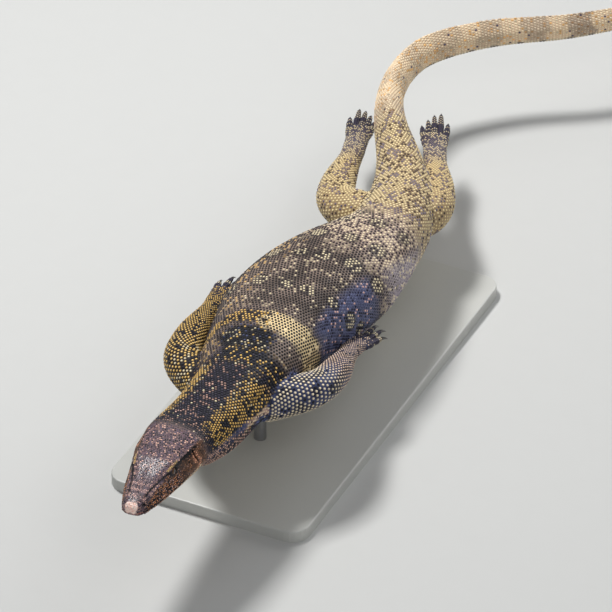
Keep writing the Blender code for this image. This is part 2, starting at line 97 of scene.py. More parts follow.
# distance, width, height, keel of the upper edge
BODY = (
    (0.098, 0.0635, 0.0430, 0.0),
    (0.125, 0.0670, 0.0520, 0.0),
    (0.155, 0.0695, 0.0570, 0.0),
    (0.200, 0.0730, 0.0630, 0.0),
    (0.250, 0.0910, 0.0710, 0.0),
    (0.300, 0.1070, 0.0780, 0.0),
    (0.350, 0.1210, 0.0840, 0.0),
    (0.395, 0.1240, 0.0850, 0.0),
    (0.435, 0.1180, 0.0830, 0.0),
    (0.475, 0.0980, 0.0770, 0.0),
    (0.515, 0.0790, 0.0690, 0.0),
    (0.560, 0.0720, 0.0640, 0.0),
    (0.605, 0.0610, 0.0590, 0.1),
    (0.650, 0.0480, 0.0550, 0.3),
    (0.710, 0.0350, 0.0490, 0.6),
    (0.780, 0.0260, 0.0420, 0.8),
    (0.880, 0.0205, 0.0340, 1.0),
    (1.050, 0.0155, 0.0265, 1.0),
    (1.220, 0.0115, 0.0200, 1.0),
    (1.380, 0.0070, 0.0120, 0.8),
    (1.510, 0.0028, 0.0036, 0.4),
)

# share of the head, crown, half width over the brows and at the lips, mouth line, chin
HEAD = (
    (0.00, 0.0016, 0.0020, 0.0034, -0.0010, -0.0026),
    (0.02, 0.0046, 0.0050, 0.0074, -0.0019, -0.0052),
    (0.05, 0.0064, 0.0070, 0.0100, -0.0026, -0.0067),
    (0.10, 0.0080, 0.0086, 0.0124, -0.0032, -0.0080),
    (0.18, 0.0093, 0.0105, 0.0153, -0.0036, -0.0095),
    (0.36, 0.0118, 0.0140, 0.0204, -0.0044, -0.0120),
    (0.50, 0.0148, 0.0166, 0.0232, -0.0052, -0.0138),
    (0.61, 0.0176, 0.0188, 0.0254, -0.0052, -0.0154),
    (0.72, 0.0184, 0.0196, 0.0276, -0.0040, -0.0172),
    (0.86, 0.0192, 0.0214, 0.0298, -0.0024, -0.0194),
    (1.00, 0.0204, 0.0250, 0.0316, -0.0010, -0.0214),
)
MOUTH_CORNER = 0.75
LIP_GROOVE = 0.0012
LIP_ROLL = 0.0013
EYE_AT = 0.550
EYE_UP = 0.0086
EYE_RADIUS = 0.0062
EYE_PROUD = 0.0004
EYE_LEAN = 0.34
NOSTRIL_AT = 0.10
NOSTRIL_UP = 0.0030
EAR_AT = 0.870
EAR_UP = 0.0068

SHOULDER = 0.235
HIP = 0.560
LIMB_JOINTS = {
    "foreleg_left": (
        (0.026, -0.018, -0.006),
        (0.062, 0.036, -0.012),
        (0.056, 0.112, -0.024),
        (0.056, 0.135, -0.027),
    ),
    "foreleg_right": (
        (-0.022, -0.022, -0.005),
        (-0.069, 0.019, -0.009),
        (-0.082, 0.108, -0.014),
        (-0.081, 0.134, -0.016),
    ),
    "hindleg_left": (
        (0.004, -0.006, -0.002),
        (0.017, 0.048, -0.008),
        (-0.020, 0.131, -0.014),
        (-0.035, 0.163, -0.016),
    ),
    "hindleg_right": (
        (-0.004, -0.006, -0.002),
        (-0.070, 0.017, -0.010),
        (-0.098, 0.111, -0.020),
        (-0.112, 0.156, -0.026),
    ),
}
FORELEG = (
    (0.00, 0.0210, 0.0200),
    (0.22, 0.0196, 0.0180),
    (0.42, 0.0168, 0.0150),
    (0.58, 0.0150, 0.0134),
    (0.80, 0.0100, 0.0088),
    (0.87, 0.0108, 0.0074),
    (1.00, 0.0130, 0.0056),
)
HINDLEG = (
    (0.00, 0.0240, 0.0240),
    (0.20, 0.0230, 0.0215),
    (0.34, 0.0200, 0.0175),
    (0.50, 0.0170, 0.0150),
    (0.74, 0.0118, 0.0102),
    (0.82, 0.0118, 0.0088),
    (1.00, 0.0126, 0.0062),
)
FORE_TOES = ((-11, 0.018), (-5, 0.026), (1, 0.029), (7, 0.027), (14, 0.018))
HIND_TOES = ((-5, 0.025), (-2, 0.034), (0, 0.041), (2, 0.046), (6, 0.029))
TOE_RADIUS = 0.0035
TOE_INSET = 0.75
TOE_ROOT_DEPTH = 0.004
CLAW_LENGTH = 0.011
CLAW_DROP = 0.0045

# how far the skin lies inside the solids, so that the scales reach their surface
SINK = 0.0008
print(f"animal {TOTAL_LENGTH:.2f} m long, head {HEAD_LENGTH * 1000:.0f} mm")


# %% Reading the plan
def smooth_read(table, column, where):
    """Reads a column of a table at any place, on a curve that never overshoots its rows."""
    rows = np.array(table, float)
    x = rows[:, 0]
    y = rows[:, column]
    step = np.diff(x)
    rise = np.diff(y) / step
    slope = np.zeros(len(x))
    slope[0] = rise[0]
    slope[-1] = rise[-1]
    same_way = rise[:-1] * rise[1:] > 0
    inner = np.zeros(len(x) - 2)
    inner[same_way] = 2 * rise[:-1][same_way] * rise[1:][same_way] / (rise[:-1] + rise[1:])[same_way]
    slope[1:-1] = inner
    where = np.clip(np.asarray(where, float), x[0], x[-1])
    k = np.clip(np.searchsorted(x, where, side="right") - 1, 0, len(step) - 1)
    t = (where - x[k]) / step[k]
    return (
        y[k] * (1 + 2 * t) * (1 - t) ** 2
        + y[k + 1] * t**2 * (3 - 2 * t)
        + step[k] * t * (1 - t) * (slope[k] * (1 - t) - slope[k + 1] * t)
    )


def angles_round(count):
    """Angles once round a ring, with the first one not repeated."""
    return np.linspace(0, 2 * math.pi, count, endpoint=False)


def read_line(where, marks, line):
    """Point of a line at a place among the marks of its points."""
    return np.array([np.interp(where, marks, line[:, k]) for k in range(3)])


WALK_STEPS = 1351


def spine_course():
    """Walks the backbone in small steps and returns distances, points and tangents."""
    walk = np.linspace(0, TOTAL_LENGTH, WALK_STEPS)
    heading = np.radians(smooth_read(SPINE, 1, walk))
    height = smooth_read(SPINE, 2, walk)
    climb = np.gradient(height, walk)
    level = np.sqrt(np.clip(1 - climb**2, 0.01, 1))
    tangent = np.stack([np.sin(heading) * level, np.cos(heading) * level, climb], axis=1)
    middle = (tangent[1:] + tangent[:-1]) / 2 * np.diff(walk)[:, None]
    points = np.vstack([np.zeros(3), np.cumsum(middle, axis=0)])
    points[:, 2] = height
    anchor = points[np.argmin(abs(walk - ANCHOR))]
    points -= (anchor[0], anchor[1], -WATER_LEVEL)
    return walk, points, tangent


WALK, SPINE_POINTS, SPINE_TANGENTS = spine_course()


def spine_frame(distance):
    """Middle of the body at a distance, with its sideways, upward and backward directions."""
    point = read_line(distance, WALK, SPINE_POINTS)
    back = read_line(distance, WALK, SPINE_TANGENTS)
    back /= np.linalg.norm(back)
    side = np.array([back[1], -back[0], 0.0])
    side /= np.linalg.norm(side)
    return point, side, np.cross(side, back), back


print("backbone ends at", SPINE_POINTS[-1].round(3))

# %% [markdown]
# ## Outlines of head and body
# A cross-section of the head has a flat crown, a sharp brow edge, sloping cheeks, two rolls
# of lip with the closed mouth between them, and a soft chin. Behind the ears it eases into
# the round neck. Each outline has few points, and a curve through them gives the fine ring.


# %% Rings
def head_half(share):
    """Half outline of the head at a share of its length, from the crown round to the chin."""
    top, brow, lip, mouth, chin = (float(smooth_read(HEAD, k, share)) for k in range(1, 6))
    closing = np.clip((MOUTH_CORNER - share) / 0.05, 0, 1)
    small = np.clip(share / 0.06, 0.25, 1)
    groove = LIP_GROOVE * closing * small
    roll = LIP_ROLL * small
    cheek = top - 0.62 * (top - mouth)
    return np.array(
        [
            (0.0, top),
            (0.34 * brow, top),
            (0.70 * brow, top - 0.02 * (top - chin)),
            (1.00 * brow, top - 0.10 * (top - chin)),
            (brow + 0.26 * (lip - brow), top - 0.26 * (top - mouth)),
            (brow + 0.62 * (lip - brow), cheek),
            (brow + 0.93 * (lip - brow), mouth + 0.22 * (top - mouth)),
            (lip, mouth + roll),
            (lip - groove, mouth),
            (lip - 0.02 * lip, mouth - roll),
            (0.93 * lip, mouth - 0.42 * (mouth - chin)),
            (0.74 * lip, mouth - 0.80 * (mouth - chin)),
            (0.38 * lip, chin + 0.02 * (mouth - chin)),
            (0.0, chin),
        ]
    )


def head_ring(share):
    """Whole outline of the head, clockwise from the crown over the left side."""
    half = head_half(share)
    return np.vstack([half, half[-2:0:-1] * (-1, 1)])


RING_POINTS = len(head_ring(0.5))
FINE = 4
FINE_POINTS = RING_POINTS * FINE


def body_ring(distance):
    """Outline of neck, trunk or tail, from the top over the left side."""
    width = float(smooth_read(BODY, 1, distance)) / 2
    height = float(smooth_read(BODY, 2, distance)) / 2
    keel = float(smooth_read(BODY, 3, distance))
    angle = angles_round(RING_POINTS)
    up = np.cos(angle)
    out = np.sin(angle)
    lower = 2 / 2.5
    power = np.where(up > 0, 2 / (2.25 - 0.75 * keel), lower)
    x = width * np.sign(out) * abs(out) ** power
    z = height * np.sign(up) * abs(up) ** np.where(up > 0, 1.0, lower)
    narrowing = 1 - 0.42 * keel * np.clip(up, 0, 1) ** 1.5
    return np.stack([x * narrowing, z], axis=1)


# shares of the head's length where its outline starts to ease into the neck's, and how long
HEAD_EASE_START = 0.80
HEAD_EASE_LENGTH = 0.45


def section(distance):
    """Outline at a distance, with the head's own outline easing into the neck's."""
    share = distance / HEAD_LENGTH
    if share >= HEAD_EASE_START + HEAD_EASE_LENGTH:
        return body_ring(distance)
    ease = np.clip((share - HEAD_EASE_START) / HEAD_EASE_LENGTH, 0, 1)
    ease = ease * ease * (3 - 2 * ease)
    neck = body_ring(max(distance, BODY[0][0]))
    return head_ring(min(share, 1.0)) * (1 - ease) + neck * ease


def fine_ring(ring):
    """The same closed outline with more points, on a curve through all of its own."""
    before = np.roll(ring, 1, axis=0)
    after = np.roll(ring, -1, axis=0)
    second = np.roll(ring, -2, axis=0)
    parts = []
    for t in np.arange(FINE) / FINE:
        b = (after - before) * t
        c = (2 * before - 5 * ring + 4 * after - second) * t**2
        d = (3 * ring - before - 3 * after + second) * t**3
        parts.append(0.5 * (2 * ring + b + c + d))
    return np.stack(parts, axis=1).reshape(-1, ring.shape[1])


def outward_of(ring):
    """Outward direction at each point of a flat ring that runs clockwise."""
    run = np.roll(ring, -1, axis=0) - np.roll(ring, 1, axis=0)
    run /= np.maximum(np.linalg.norm(run, axis=1), 1e-9)[:, None]
    return np.stack([-run[:, 1], run[:, 0]], axis=1)


def arcs_of(ring):
    """Distance of each point from the crown along the ring, and the whole way round."""
    steps = np.linalg.norm(np.roll(ring, -1, axis=0) - ring, axis=1)
    return np.concatenate([[0], np.cumsum(steps)[:-1]]), steps.sum()


def signed_arcs(ring):
    """Distance from the crown, under 0 on the right side, and half the way round."""
    arc, whole = arcs_of(ring)
    return np.where(arc > whole / 2, arc - whole, arc), whole / 2


print("points in a fine ring:", FINE_POINTS)

# %% [markdown]
# ## Folds and swellings
# Loose skin lies in folds where the neck meets the shoulder, a ridge of bone runs from the
# brow to the nostril, and jaw muscles swell behind the mouth. They could be sculpted by
# hand. Here each is a smooth hill or furrow with a place, a width and a height, added to
# the rings before they are joined, so that the same call can be read at any place.


# %% Relief of the skin
def hill(x, middle, width):
    """A smooth swelling, 1 at its middle."""
    return np.exp(-(((x - middle) / width) ** 2))


def window(x, start, end, edge):
    """1 between start and end, with a smooth edge of the given width inside them."""
    rise = np.clip((x - start) / edge, 0, 1)
    fall = np.clip((end - x) / edge, 0, 1)
    return rise * rise * (3 - 2 * rise) * fall * fall * (3 - 2 * fall)


def relief(distance, arc):
    """Height added to the skin at a distance from the snout and an arc from the crown."""
    s = distance * 1000
    a = np.abs(arc) * 1000
    rise = 2.4 * window(s, 148, 222, 22) * hill(a, 49 + 0.03 * (s - 180), 4.5)
    rise -= 1.6 * window(s, 150, 222, 22) * hill(a, 41, 3.5)
    rise += 1.2 * window(s, 118, 200, 25) * hill(a, 62, 5.0)
    rise += 1.3 * hill(s, 83, 9) * hill(a, 38, 9)
    rise += 0.5 * window(s, 12, 48, 10) * hill(a, 11.5 + 0.16 * (s - 12), 1.6)
    rise -= 0.5 * window(s, 14, 50, 10) * hill(a, 0, 3.5)
    rise += 0.6 * window(s, 44, 68, 8) * hill(a, 18.5, 3.2)
    rise += 1.5 * hill(s, 54, 8) * hill(a, 15.5, 4.5)
    rise -= 0.9 * window(s, 255, 330, 20) * hill(a, 70, 5)
    rise += 0.8 * window(s, 330, 500, 40) * hill(a, 92, 6)
    return rise / 1000


def body_surface(distance):
    """Fine ring of the skin in space, with each point's signed arc and its outward direction."""
    ring = fine_ring(section(distance))
    signed, half = signed_arcs(ring)
    outward = outward_of(ring)
    thin = np.clip(distance / 0.010, 0.3, 1) * np.clip((TOTAL_LENGTH - distance) / 0.05, 0.3, 1)
    ring = ring + outward * (relief(distance, signed) - SINK * thin)[:, None]
    point, side, up, _ = spine_frame(distance)
    place = point + ring[:, :1] * side + ring[:, 1:] * up
    facing = outward[:, :1] * side + outward[:, 1:] * up
    return place, signed, facing, half


print("relief at the shoulder fold, mm:", round(float(relief(0.18, 0.049)) * 1000, 1))


# %% Joining rings to a tube
def mesh_piece(name, points, faces):
    mesh = bpy.data.meshes.new(name)
    mesh.from_pydata([tuple(p) for p in points], [], faces)
    mesh.update()
    thing = bpy.data.objects.new(name, mesh)
    bpy.context.scene.collection.objects.link(thing)
    return thing


def loft(name, rings):
    """Joins rings of equal size into one closed tube, faces outwards."""
    sides = len(rings[0])
    points = np.vstack(rings)
    faces = []
    for k in range(len(rings) - 1):
        low = k * sides
        for i in range(sides):
            j = (i + 1) % sides
            faces.append((low + i, low + j, low + sides + j, low + sides + i))
    last = (len(rings) - 1) * sides
    centres = len(points)
    points = np.vstack([points, np.mean(rings[0], axis=0), np.mean(rings[-1], axis=0)])
    for i in range(sides):
        j = (i + 1) % sides
        faces.append((centres, j, i))
        faces.append((centres + 1, last + i, last + j))
    thing = mesh_piece(name, points, faces)
    shape = bmesh.new()
    shape.from_mesh(thing.data)
    bmesh.ops.recalc_face_normals(shape, faces=shape.faces)
    shape.to_mesh(thing.data)
    shape.free()
    return thing


# rings of the tube: at the tip of the snout, then in even steps on head, trunk and tail
SNOUT_STATIONS = (0.0002, 0.0007, 0.0014, 0.0024, 0.0036)
HEAD_START = 0.005
TAIL_START = 0.62
HEAD_STEP = 0.0012
TRUNK_STEP = 0.0026
TAIL_STEP = 0.0034
body_stations = np.concatenate(
    [
        np.array(SNOUT_STATIONS),
        np.arange(HEAD_START, HEAD_LENGTH, HEAD_STEP),
        np.arange(HEAD_LENGTH, TAIL_START, TRUNK_STEP),
        np.arange(TAIL_START, TOTAL_LENGTH, TAIL_STEP),
    ]
)
surfaces = [body_surface(distance) for distance in body_stations]
skin = loft("skin", [place for place, _, _, _ in surfaces])
print("body tube:", len(skin.data.polygons), "faces")

# %% [markdown]
# ## Limbs
# The swimming animal lays its limbs back along its sides. Each limb is a tube round a smooth
# line through its joints, wide at the shoulder or hip, round at the elbow or knee and flat
# at the hand or foot, and the toes trail behind it. The tubes reach into the trunk and are
# joined with it, so that a real crease is left where arm and flank touch.


# %% Limb course
COURSE_STEPS = 200
AHEAD = 0.01


def round_course(joints, count=COURSE_STEPS):
    """A smooth line through the joints, with each point's share of its length."""
    p = [np.array(j, float) for j in joints]
    p = [2 * p[0] - p[1]] + p + [2 * p[-1] - p[-2]]
    line = []
    for k in range(1, len(p) - 2):
        for t in np.linspace(0, 1, count, endpoint=False):
            a = 2 * p[k]
            b = p[k + 1] - p[k - 1]
            c = 2 * p[k - 1] - 5 * p[k] + 4 * p[k + 1] - p[k + 2]
            d = -p[k - 1] + 3 * p[k] - 3 * p[k + 1] + p[k + 2]
            line.append(0.5 * (a + b * t + c * t**2 + d * t**3))
    line.append(p[-2])
    line = np.array(line)
    run = np.concatenate([[0], np.cumsum(np.linalg.norm(np.diff(line, axis=0), axis=1))])
    return line, run / run[-1], run[-1]


class Limb:
    """A limb's course from its girdle to the root of its toes, with its flat side up."""

    def __init__(self, name):
        self.name = name
        self.fore = name.startswith("fore")
        middle = spine_frame(SHOULDER if self.fore else HIP)[0]
        joints = [middle + np.array(step) for step in LIMB_JOINTS[name]]
        self.line, self.share, self.length = round_course(joints)
        self.thickness = FORELEG if self.fore else HINDLEG
        self.toes = FORE_TOES if self.fore else HIND_TOES

    def frame(self, share):
        """Point of the course, with its sideways, upward and onward directions."""
        point = read_line(share, self.share, self.line)
        ahead = read_line(min(share + AHEAD, 1), self.share, self.line)
        behind = read_line(max(share - AHEAD, 0), self.share, self.line)
        along = (ahead - behind) / np.linalg.norm(ahead - behind)
        side = np.cross(along, (0, 0, 1))
        side /= np.linalg.norm(side)
        return point, side, np.cross(side, along), along

    def ring(self, share, sides):
        """Skin points, their arcs from the top line, and their outward directions."""
        point, side, up, _ = self.frame(share)
        wide = float(smooth_read(self.thickness, 1, share)) - SINK
        deep = float(smooth_read(self.thickness, 2, share)) - SINK
        angle = angles_round(sides)
        flat = np.stack([np.sin(angle) * wide, np.cos(angle) * deep], axis=1)
        signed, half = signed_arcs(flat)
        outward = np.stack([np.sin(angle) / wide, np.cos(angle) / deep], axis=1)
        outward /= np.linalg.norm(outward, axis=1)[:, None]
        place = point + flat[:, :1] * side + flat[:, 1:] * up
        return place, signed, outward[:, :1] * side + outward[:, 1:] * up, half

    def toe_roots(self):
        """Start, direction, sideways and upward directions and length of each toe."""
        root, side, up, along = self.frame(1.0)
        outward = side if self.name.endswith("left") else -side
        half = self.thickness[-1][1] - TOE_RADIUS * TOE_INSET
        found = []
        for (turn, length), place in zip(self.toes, np.linspace(-1, 1, len(self.toes))):
            angle = math.radians(turn)
            direction = along * math.cos(angle) + outward * math.sin(angle)
            across = np.cross(direction, up)
            start = root + outward * half * place - along * TOE_ROOT_DEPTH * (1 + abs(place))
            found.append((start, direction, across, up, length))
        return found


TOE_KNUCKLES = (
    (-0.25, 0.95),
    (0.10, 1.00),
    (0.38, 0.84),
    (0.55, 0.92),
    (0.80, 0.72),
    (0.97, 0.60),
    (1.04, 0.28),
)
TOE_SIDES = 14
TOE_STEPS = 22
TOE_SINK = 0.0003
TOE_FLATNESS = 0.9
TOE_HALF = math.pi * TOE_RADIUS * 1000


def toe_arcs(sides):
    """Arcs round a toe from its top line, in mm."""
    angle = angles_round(sides)
    return np.where(angle > math.pi, angle - 2 * math.pi, angle) * TOE_RADIUS * 1000


def toe_ring(toe, share, sides):
    start, direction, across, up, length = toe
    thick = TOE_RADIUS * float(smooth_read(TOE_KNUCKLES, 1, share)) - TOE_SINK
    angle = angles_round(sides)
    outward = np.outer(np.sin(angle), across) + np.outer(np.cos(angle), up)
    flat = np.outer(np.sin(angle) * thick, across)
    flat = flat + np.outer(np.cos(angle) * thick * TOE_FLATNESS, up)
    return start + direction * length * share + flat, outward


LIMB_FINE_SIDES = 40
limbs = [Limb(name) for name in LIMB_JOINTS]
limb_tubes = []
for limb in limbs:
    count = int(limb.length / TRUNK_STEP)
    rings = [limb.ring(share, LIMB_FINE_SIDES)[0] for share in np.linspace(0, 1, count)]
    limb_tubes.append(loft(limb.name + "_tube", rings))
    for toe in limb.toe_roots():
        shares = np.linspace(TOE_KNUCKLES[0][0], TOE_KNUCKLES[-1][0], TOE_STEPS)
        rings = [toe_ring(toe, share, TOE_SIDES)[0] for share in shares]
        limb_tubes.append(loft(limb.name + "_toe", rings))
print("limb tubes and toes:", len(limb_tubes))

# %% [markdown]
# ## Eyes, ears and nostrils
# The eyeball sits deep in its socket and the lids close over its rim, so only an almond of it
# shows. The ear is an upright slit behind the corner of the mouth, and the nostrils are round
# holes on the sides of the snout. Each opening is cut through the skin with a stretched ball.


# %% Places on the head
def surface_out(share, height):
    """Half width of the head at a share of its length and a height over its axis."""
    outer = head_half(share)[3:12]
    order = np.argsort(outer[:, 1])
    return float(np.interp(height, outer[order, 1], outer[order, 0]))


def head_place(share, out, up_by, hand):
    point, side, up, back = spine_frame(share * HEAD_LENGTH)
    return point + side * out * hand + up * up_by, side * hand, up, back


def eye_place(hand):
    """Middle of an eyeball, and its outward, backward and upward directions."""
    out = surface_out(EYE_AT, EYE_UP) - EYE_RADIUS + EYE_PROUD
    centre, side, up, back = head_place(EYE_AT, out, EYE_UP, hand)
    outward = side + up * EYE_LEAN
    outward /= np.linalg.norm(outward)
    return centre, (outward, back, np.cross(outward, back))


def stretched_ball(name, centre, axes, sizes, rows=18, columns=28):
    """A ball from the primitive, stretched along three directions of its own."""
    axes = np.array(axes)
    if np.linalg.det(axes) < 0:
        axes[2] *= -1
    bpy.ops.mesh.primitive_uv_sphere_add(segments=columns, ring_count=rows, radius=1.0)
    ball = bpy.context.object
    ball.name = name
    turn = Matrix(axes.T.tolist()).to_4x4()
    ball.data.transform(Matrix.Translation(Vector(centre)) @ turn @ Matrix.Diagonal((*sizes, 1.0)))
    ball.select_set(False)
    return ball


def join_or_cut(thing, operation, others):
    """One Boolean on a collection of closed meshes, applied, with the others removed."""
    group = bpy.data.collections.new(thing.name + "_others")
    for other in others:
        group.objects.link(other)
    modifier = thing.modifiers.new("shape", "BOOLEAN")
    modifier.operation = operation
    modifier.operand_type = "COLLECTION"
    modifier.collection = group
    modifier.solver = "MANIFOLD"
    graph = bpy.context.evaluated_depsgraph_get()
    made = bpy.data.meshes.new_from_object(thing.evaluated_get(graph))
    thing.modifiers.clear()
    thing.data = made
    for other in others:
        bpy.data.objects.remove(other, do_unlink=True)
    bpy.data.collections.remove(group)


# half sizes of the balls that make the lids and cut the openings: outwards, back and up
LID_BALL = (0.0066, 0.0086, 0.0061)
SLIT_BALL = (0.0036, 0.0046, 0.0024)
NOSTRIL_BALL = (0.0022, 0.0017, 0.0011)
EAR_BALL = (0.0045, 0.0013, 0.0098)
LID_INSET = 0.0003
SOCKET_GAP = 0.0001
EAR_DROP = 0.0015
join_or_cut(skin, "UNION", limb_tubes)
lids = []
openings = []


def open_side(name, share, height, drop, sizes, hand):
    """Adds an opening on one side of the head, and returns its place and outward direction."""
    out = surface_out(share, height) - SINK
    place, side, up, back = head_place(share, out, height - drop, hand)
    openings.append(stretched_ball(name, place, (side, back, up), sizes))
    return place, side


nostrils = []
ears = []
for hand in (1, -1):
    centre, axes = eye_place(hand)
    lids.append(stretched_ball("lid", centre - axes[0] * LID_INSET, axes, LID_BALL))
    openings.append(stretched_ball("socket", centre, axes, (EYE_RADIUS + SOCKET_GAP,) * 3))
    slit = centre + axes[0] * EYE_RADIUS
    openings.append(stretched_ball("slit", slit, axes, SLIT_BALL))
    nostrils.append(open_side("nostril", NOSTRIL_AT, NOSTRIL_UP, 0.0, NOSTRIL_BALL, hand))
    ears.append(open_side("ear", EAR_AT, EAR_UP, EAR_DROP, EAR_BALL, hand))
join_or_cut(skin, "UNION", lids)
join_or_cut(skin, "DIFFERENCE", openings)
print("skin:", len(skin.data.vertices), "points after joining and cutting")


# %% One closed skin, softened where the limbs join
MERGE_DISTANCE = 2e-6
ON_BODY = 1e-5
SOFTEN_FROM = 0.15
SOFTEN_REACH = 0.007
SOFTEN_ROUNDS = 14
SOFTEN_SHARE = 0.6


def keep_largest(thing):
    """Merges points that meet and leaves only the surface with the most faces."""
    shape = bmesh.new()
    shape.from_mesh(thing.data)
    bmesh.ops.remove_doubles(shape, verts=shape.verts, dist=MERGE_DISTANCE)
    waiting = set(shape.faces)
    groups = []
    while waiting:
        start = waiting.pop()
        found = [start]
        queue = [start]
        while queue:
            for edge in queue.pop().edges:
                for near in edge.link_faces:
                    if near in waiting:
                        waiting.remove(near)
                        found.append(near)
                        queue.append(near)
        groups.append(found)
    groups.sort(key=len)
    scraps = [face for group in groups[:-1] for face in group]
    bmesh.ops.delete(shape, geom=scraps, context="FACES")
    shape.to_mesh(thing.data)
    shape.free()
    return len(groups)


def tree_of(points):
    """A tree that finds the nearest of these points to a place."""
    tree = KDTree(max(1, len(points)))
    for number, point in enumerate(points):
        tree.insert(point, number)
    tree.balance()
    return tree


def distances_to(tree, places):
    return np.array([tree.find(Vector(place))[2] for place in places])


def points_of(mesh):
    flat = np.zeros(len(mesh.vertices) * 3, np.float32)
    mesh.vertices.foreach_get("co", flat)
    return flat.reshape(-1, 3).astype(float)


def in_fixed_order(thing):
    """Sorts points and faces, because operators give them in another order from run to run."""
    places = points_of(thing.data)
    order = np.lexsort(places.T)
    rank = np.empty(len(order), int)
    rank[order] = np.arange(len(order))
    faces = []
    for face in thing.data.polygons:
        corners = [int(rank[k]) for k in face.vertices]
        first = corners.index(min(corners))
        faces.append(corners[first:] + corners[:first])
    fresh = bpy.data.meshes.new(thing.name)
    fresh.from_pydata(places[order].tolist(), [], sorted(faces))
    fresh.update()
    thing.data = fresh


groups = keep_largest(skin)
in_fixed_order(skin)
body_points = np.vstack([place for place, _, _, _ in surfaces])
skin_points = points_of(skin.data)
near_body = distances_to(tree_of(body_points), skin_points)
edges = np.zeros(len(skin.data.edges) * 2, np.int32)
skin.data.edges.foreach_get("vertices", edges)
edges = edges.reshape(-1, 2)
on_body = near_body < ON_BODY
seam = on_body[edges[:, 0]] != on_body[edges[:, 1]]
seam_points = skin_points[edges[seam].ravel()]
behind_head = seam_points[:, 1] > spine_frame(SOFTEN_FROM)[0][1]
root_rings = [limb.ring(0.0, LIMB_FINE_SIDES)[0] for limb in limbs]
seam_points = np.vstack([seam_points[behind_head], *root_rings])
seam_distance = distances_to(tree_of(seam_points), skin_points)
soft = np.clip(1 - seam_distance / SOFTEN_REACH, 0, 1)
degree = np.zeros(len(skin_points))
np.add.at(degree, edges[:, 0], 1)
np.add.at(degree, edges[:, 1], 1)
for _ in range(SOFTEN_ROUNDS):
    total = np.zeros_like(skin_points)
    np.add.at(total, edges[:, 0], skin_points[edges[:, 1]])
    np.add.at(total, edges[:, 1], skin_points[edges[:, 0]])
    mean = total / np.maximum(degree, 1)[:, None]
    skin_points += (mean - skin_points) * (soft * SOFTEN_SHARE)[:, None]
skin.data.vertices.foreach_set("co", skin_points.astype(np.float32).ravel())
skin.data.update()
skin.data.shade_smooth()
print("closed surfaces found:", groups, "seam points softened:", int((soft > 0).sum()))

# %% [markdown]
# ## Markings
# A water monitor is blue-black with rows of cream dots on the neck and arms, a net of yellow
# skin over the shoulders, rings of pale scales across the back, gold dots on the thighs and a
# banded tail. The belly and throat are pale with narrow dark bars. The markings are worked
# out as functions of the distance from the snout and the arc from the crest, both in
# millimetres, so that the skin and each scale that stands on it read the same pattern. Each
# place has two colours: that of the scale and that of the skin that shows round it.


# %% Paints
def paint(red, green, blue):
    """A colour as a screen shows it, turned into the amounts of light that Blender mixes."""
    c = np.array([red, green, blue], float)
    return np.where(c <= 0.04045, c / 12.92, ((c + 0.055) / 1.055) ** 2.4)


NIGHT = paint(0.07, 0.07, 0.105)
SLATE = paint(0.25, 0.23, 0.30)
PLUM = paint(0.36, 0.28, 0.32)
UMBER = paint(0.15, 0.125, 0.13)
BROWN = paint(0.24, 0.165, 0.125)
NET = paint(0.62, 0.54, 0.49)
CREAM = paint(0.97, 0.90, 0.74)
GOLD = paint(0.94, 0.76, 0.42)
ROSE = paint(0.88, 0.70, 0.64)
ORANGE = paint(0.78, 0.53, 0.36)
BELLY = paint(0.90, 0.84, 0.72)
# blue painted on dark wet skin as a reflection of the sky
SKY_SHEEN_BLUE = paint(0.27, 0.31, 0.47)


def mottle(x, y, size, seed):
    """Smooth random patches between 0 and 1, each about as wide as size."""
    draw = np.random.default_rng(seed)
    total = np.zeros(np.shape(x))
    waves = 16
    for _ in range(waves):
        angle = draw.uniform(0, 2 * math.pi)
        wave = math.pi / size * draw.uniform(0.6, 1.5)
        total += np.sin((x * math.cos(angle) + y * math.sin(angle)) * wave + draw.uniform(0, 6.3))
    return 0.5 + 0.5 * np.tanh(total / math.sqrt(waves) * 1.3)


def lay(colours, colour, mask):
    """Lays a colour over the others where the mask is 1."""
    colours += (colour - colours) * np.asarray(mask, float)[:, None]


def vary(colours, shades):
    """Makes each colour lighter or darker by its own share, and never brighter than wet white."""
    varied = colours * shades[:, None]
    return varied * np.minimum(1, 0.92 / varied.max(axis=1))[:, None]


def near_line(x, y, line):
    """Distance from each point to a line through a few places."""
    best = np.full(np.shape(x), 1e9)
    for (x0, y0), (x1, y1) in zip(line, line[1:]):
        run = max((x1 - x0) ** 2 + (y1 - y0) ** 2, 1e-9)
        t = np.clip(((x - x0) * (x1 - x0) + (y - y0) * (y1 - y0)) / run, 0, 1)
        best = np.minimum(best, np.hypot(x - x0 - t * (x1 - x0), y - y0 - t * (y1 - y0)))
    return best


# courses of the dark band through the eye, painted as shadow under the brow, of the pale brow over it
# and of the fold at the shoulder
EYE_SHADOW_BAND = ((14, 8), (28, 10.5), (40, 14.5), (50, 19), (60, 21.5), (76, 24.5), (90, 26.5))
BROW_LINE = ((48, 15.6), (53, 17.2), (58, 18.6), (62, 19.5))
SHOULDER_FOLD = ((160, 50), (178, 53), (196, 56), (210, 66))
MOUTH_POINT = 8
LIP_STATIONS = np.linspace(2, HEAD_LENGTH * 1000, 30)
LIP_ARCS = []
for station in LIP_STATIONS:
    outline = fine_ring(head_ring(station / 1000 / HEAD_LENGTH))
    LIP_ARCS.append(float(arcs_of(outline)[0][MOUTH_POINT * FINE]) * 1000)

# places of the pale rings on the back: distance, arc to the left, radius
ROSETTES = (
    (340, -22, 6.5),
    (342, 5, 5.5),
    (345, 24, 6.5),
    (354, 50, 6.0),
    (366, 76, 7.5),
    (332, -50, 5.5),
    (384, 92, 6.0),
    (388, -40, 7.0),
    (396, -14, 5.5),
    (402, 6, 7.0),
    (414, 34, 8.0),
    (424, 62, 7.0),
    (436, -24, 7.0),
    (446, 6, 6.5),
    (452, 34, 7.0),
    (478, -22, 6.0),
    (486, 8, 7.0),
    (492, 36, 6.0),
)


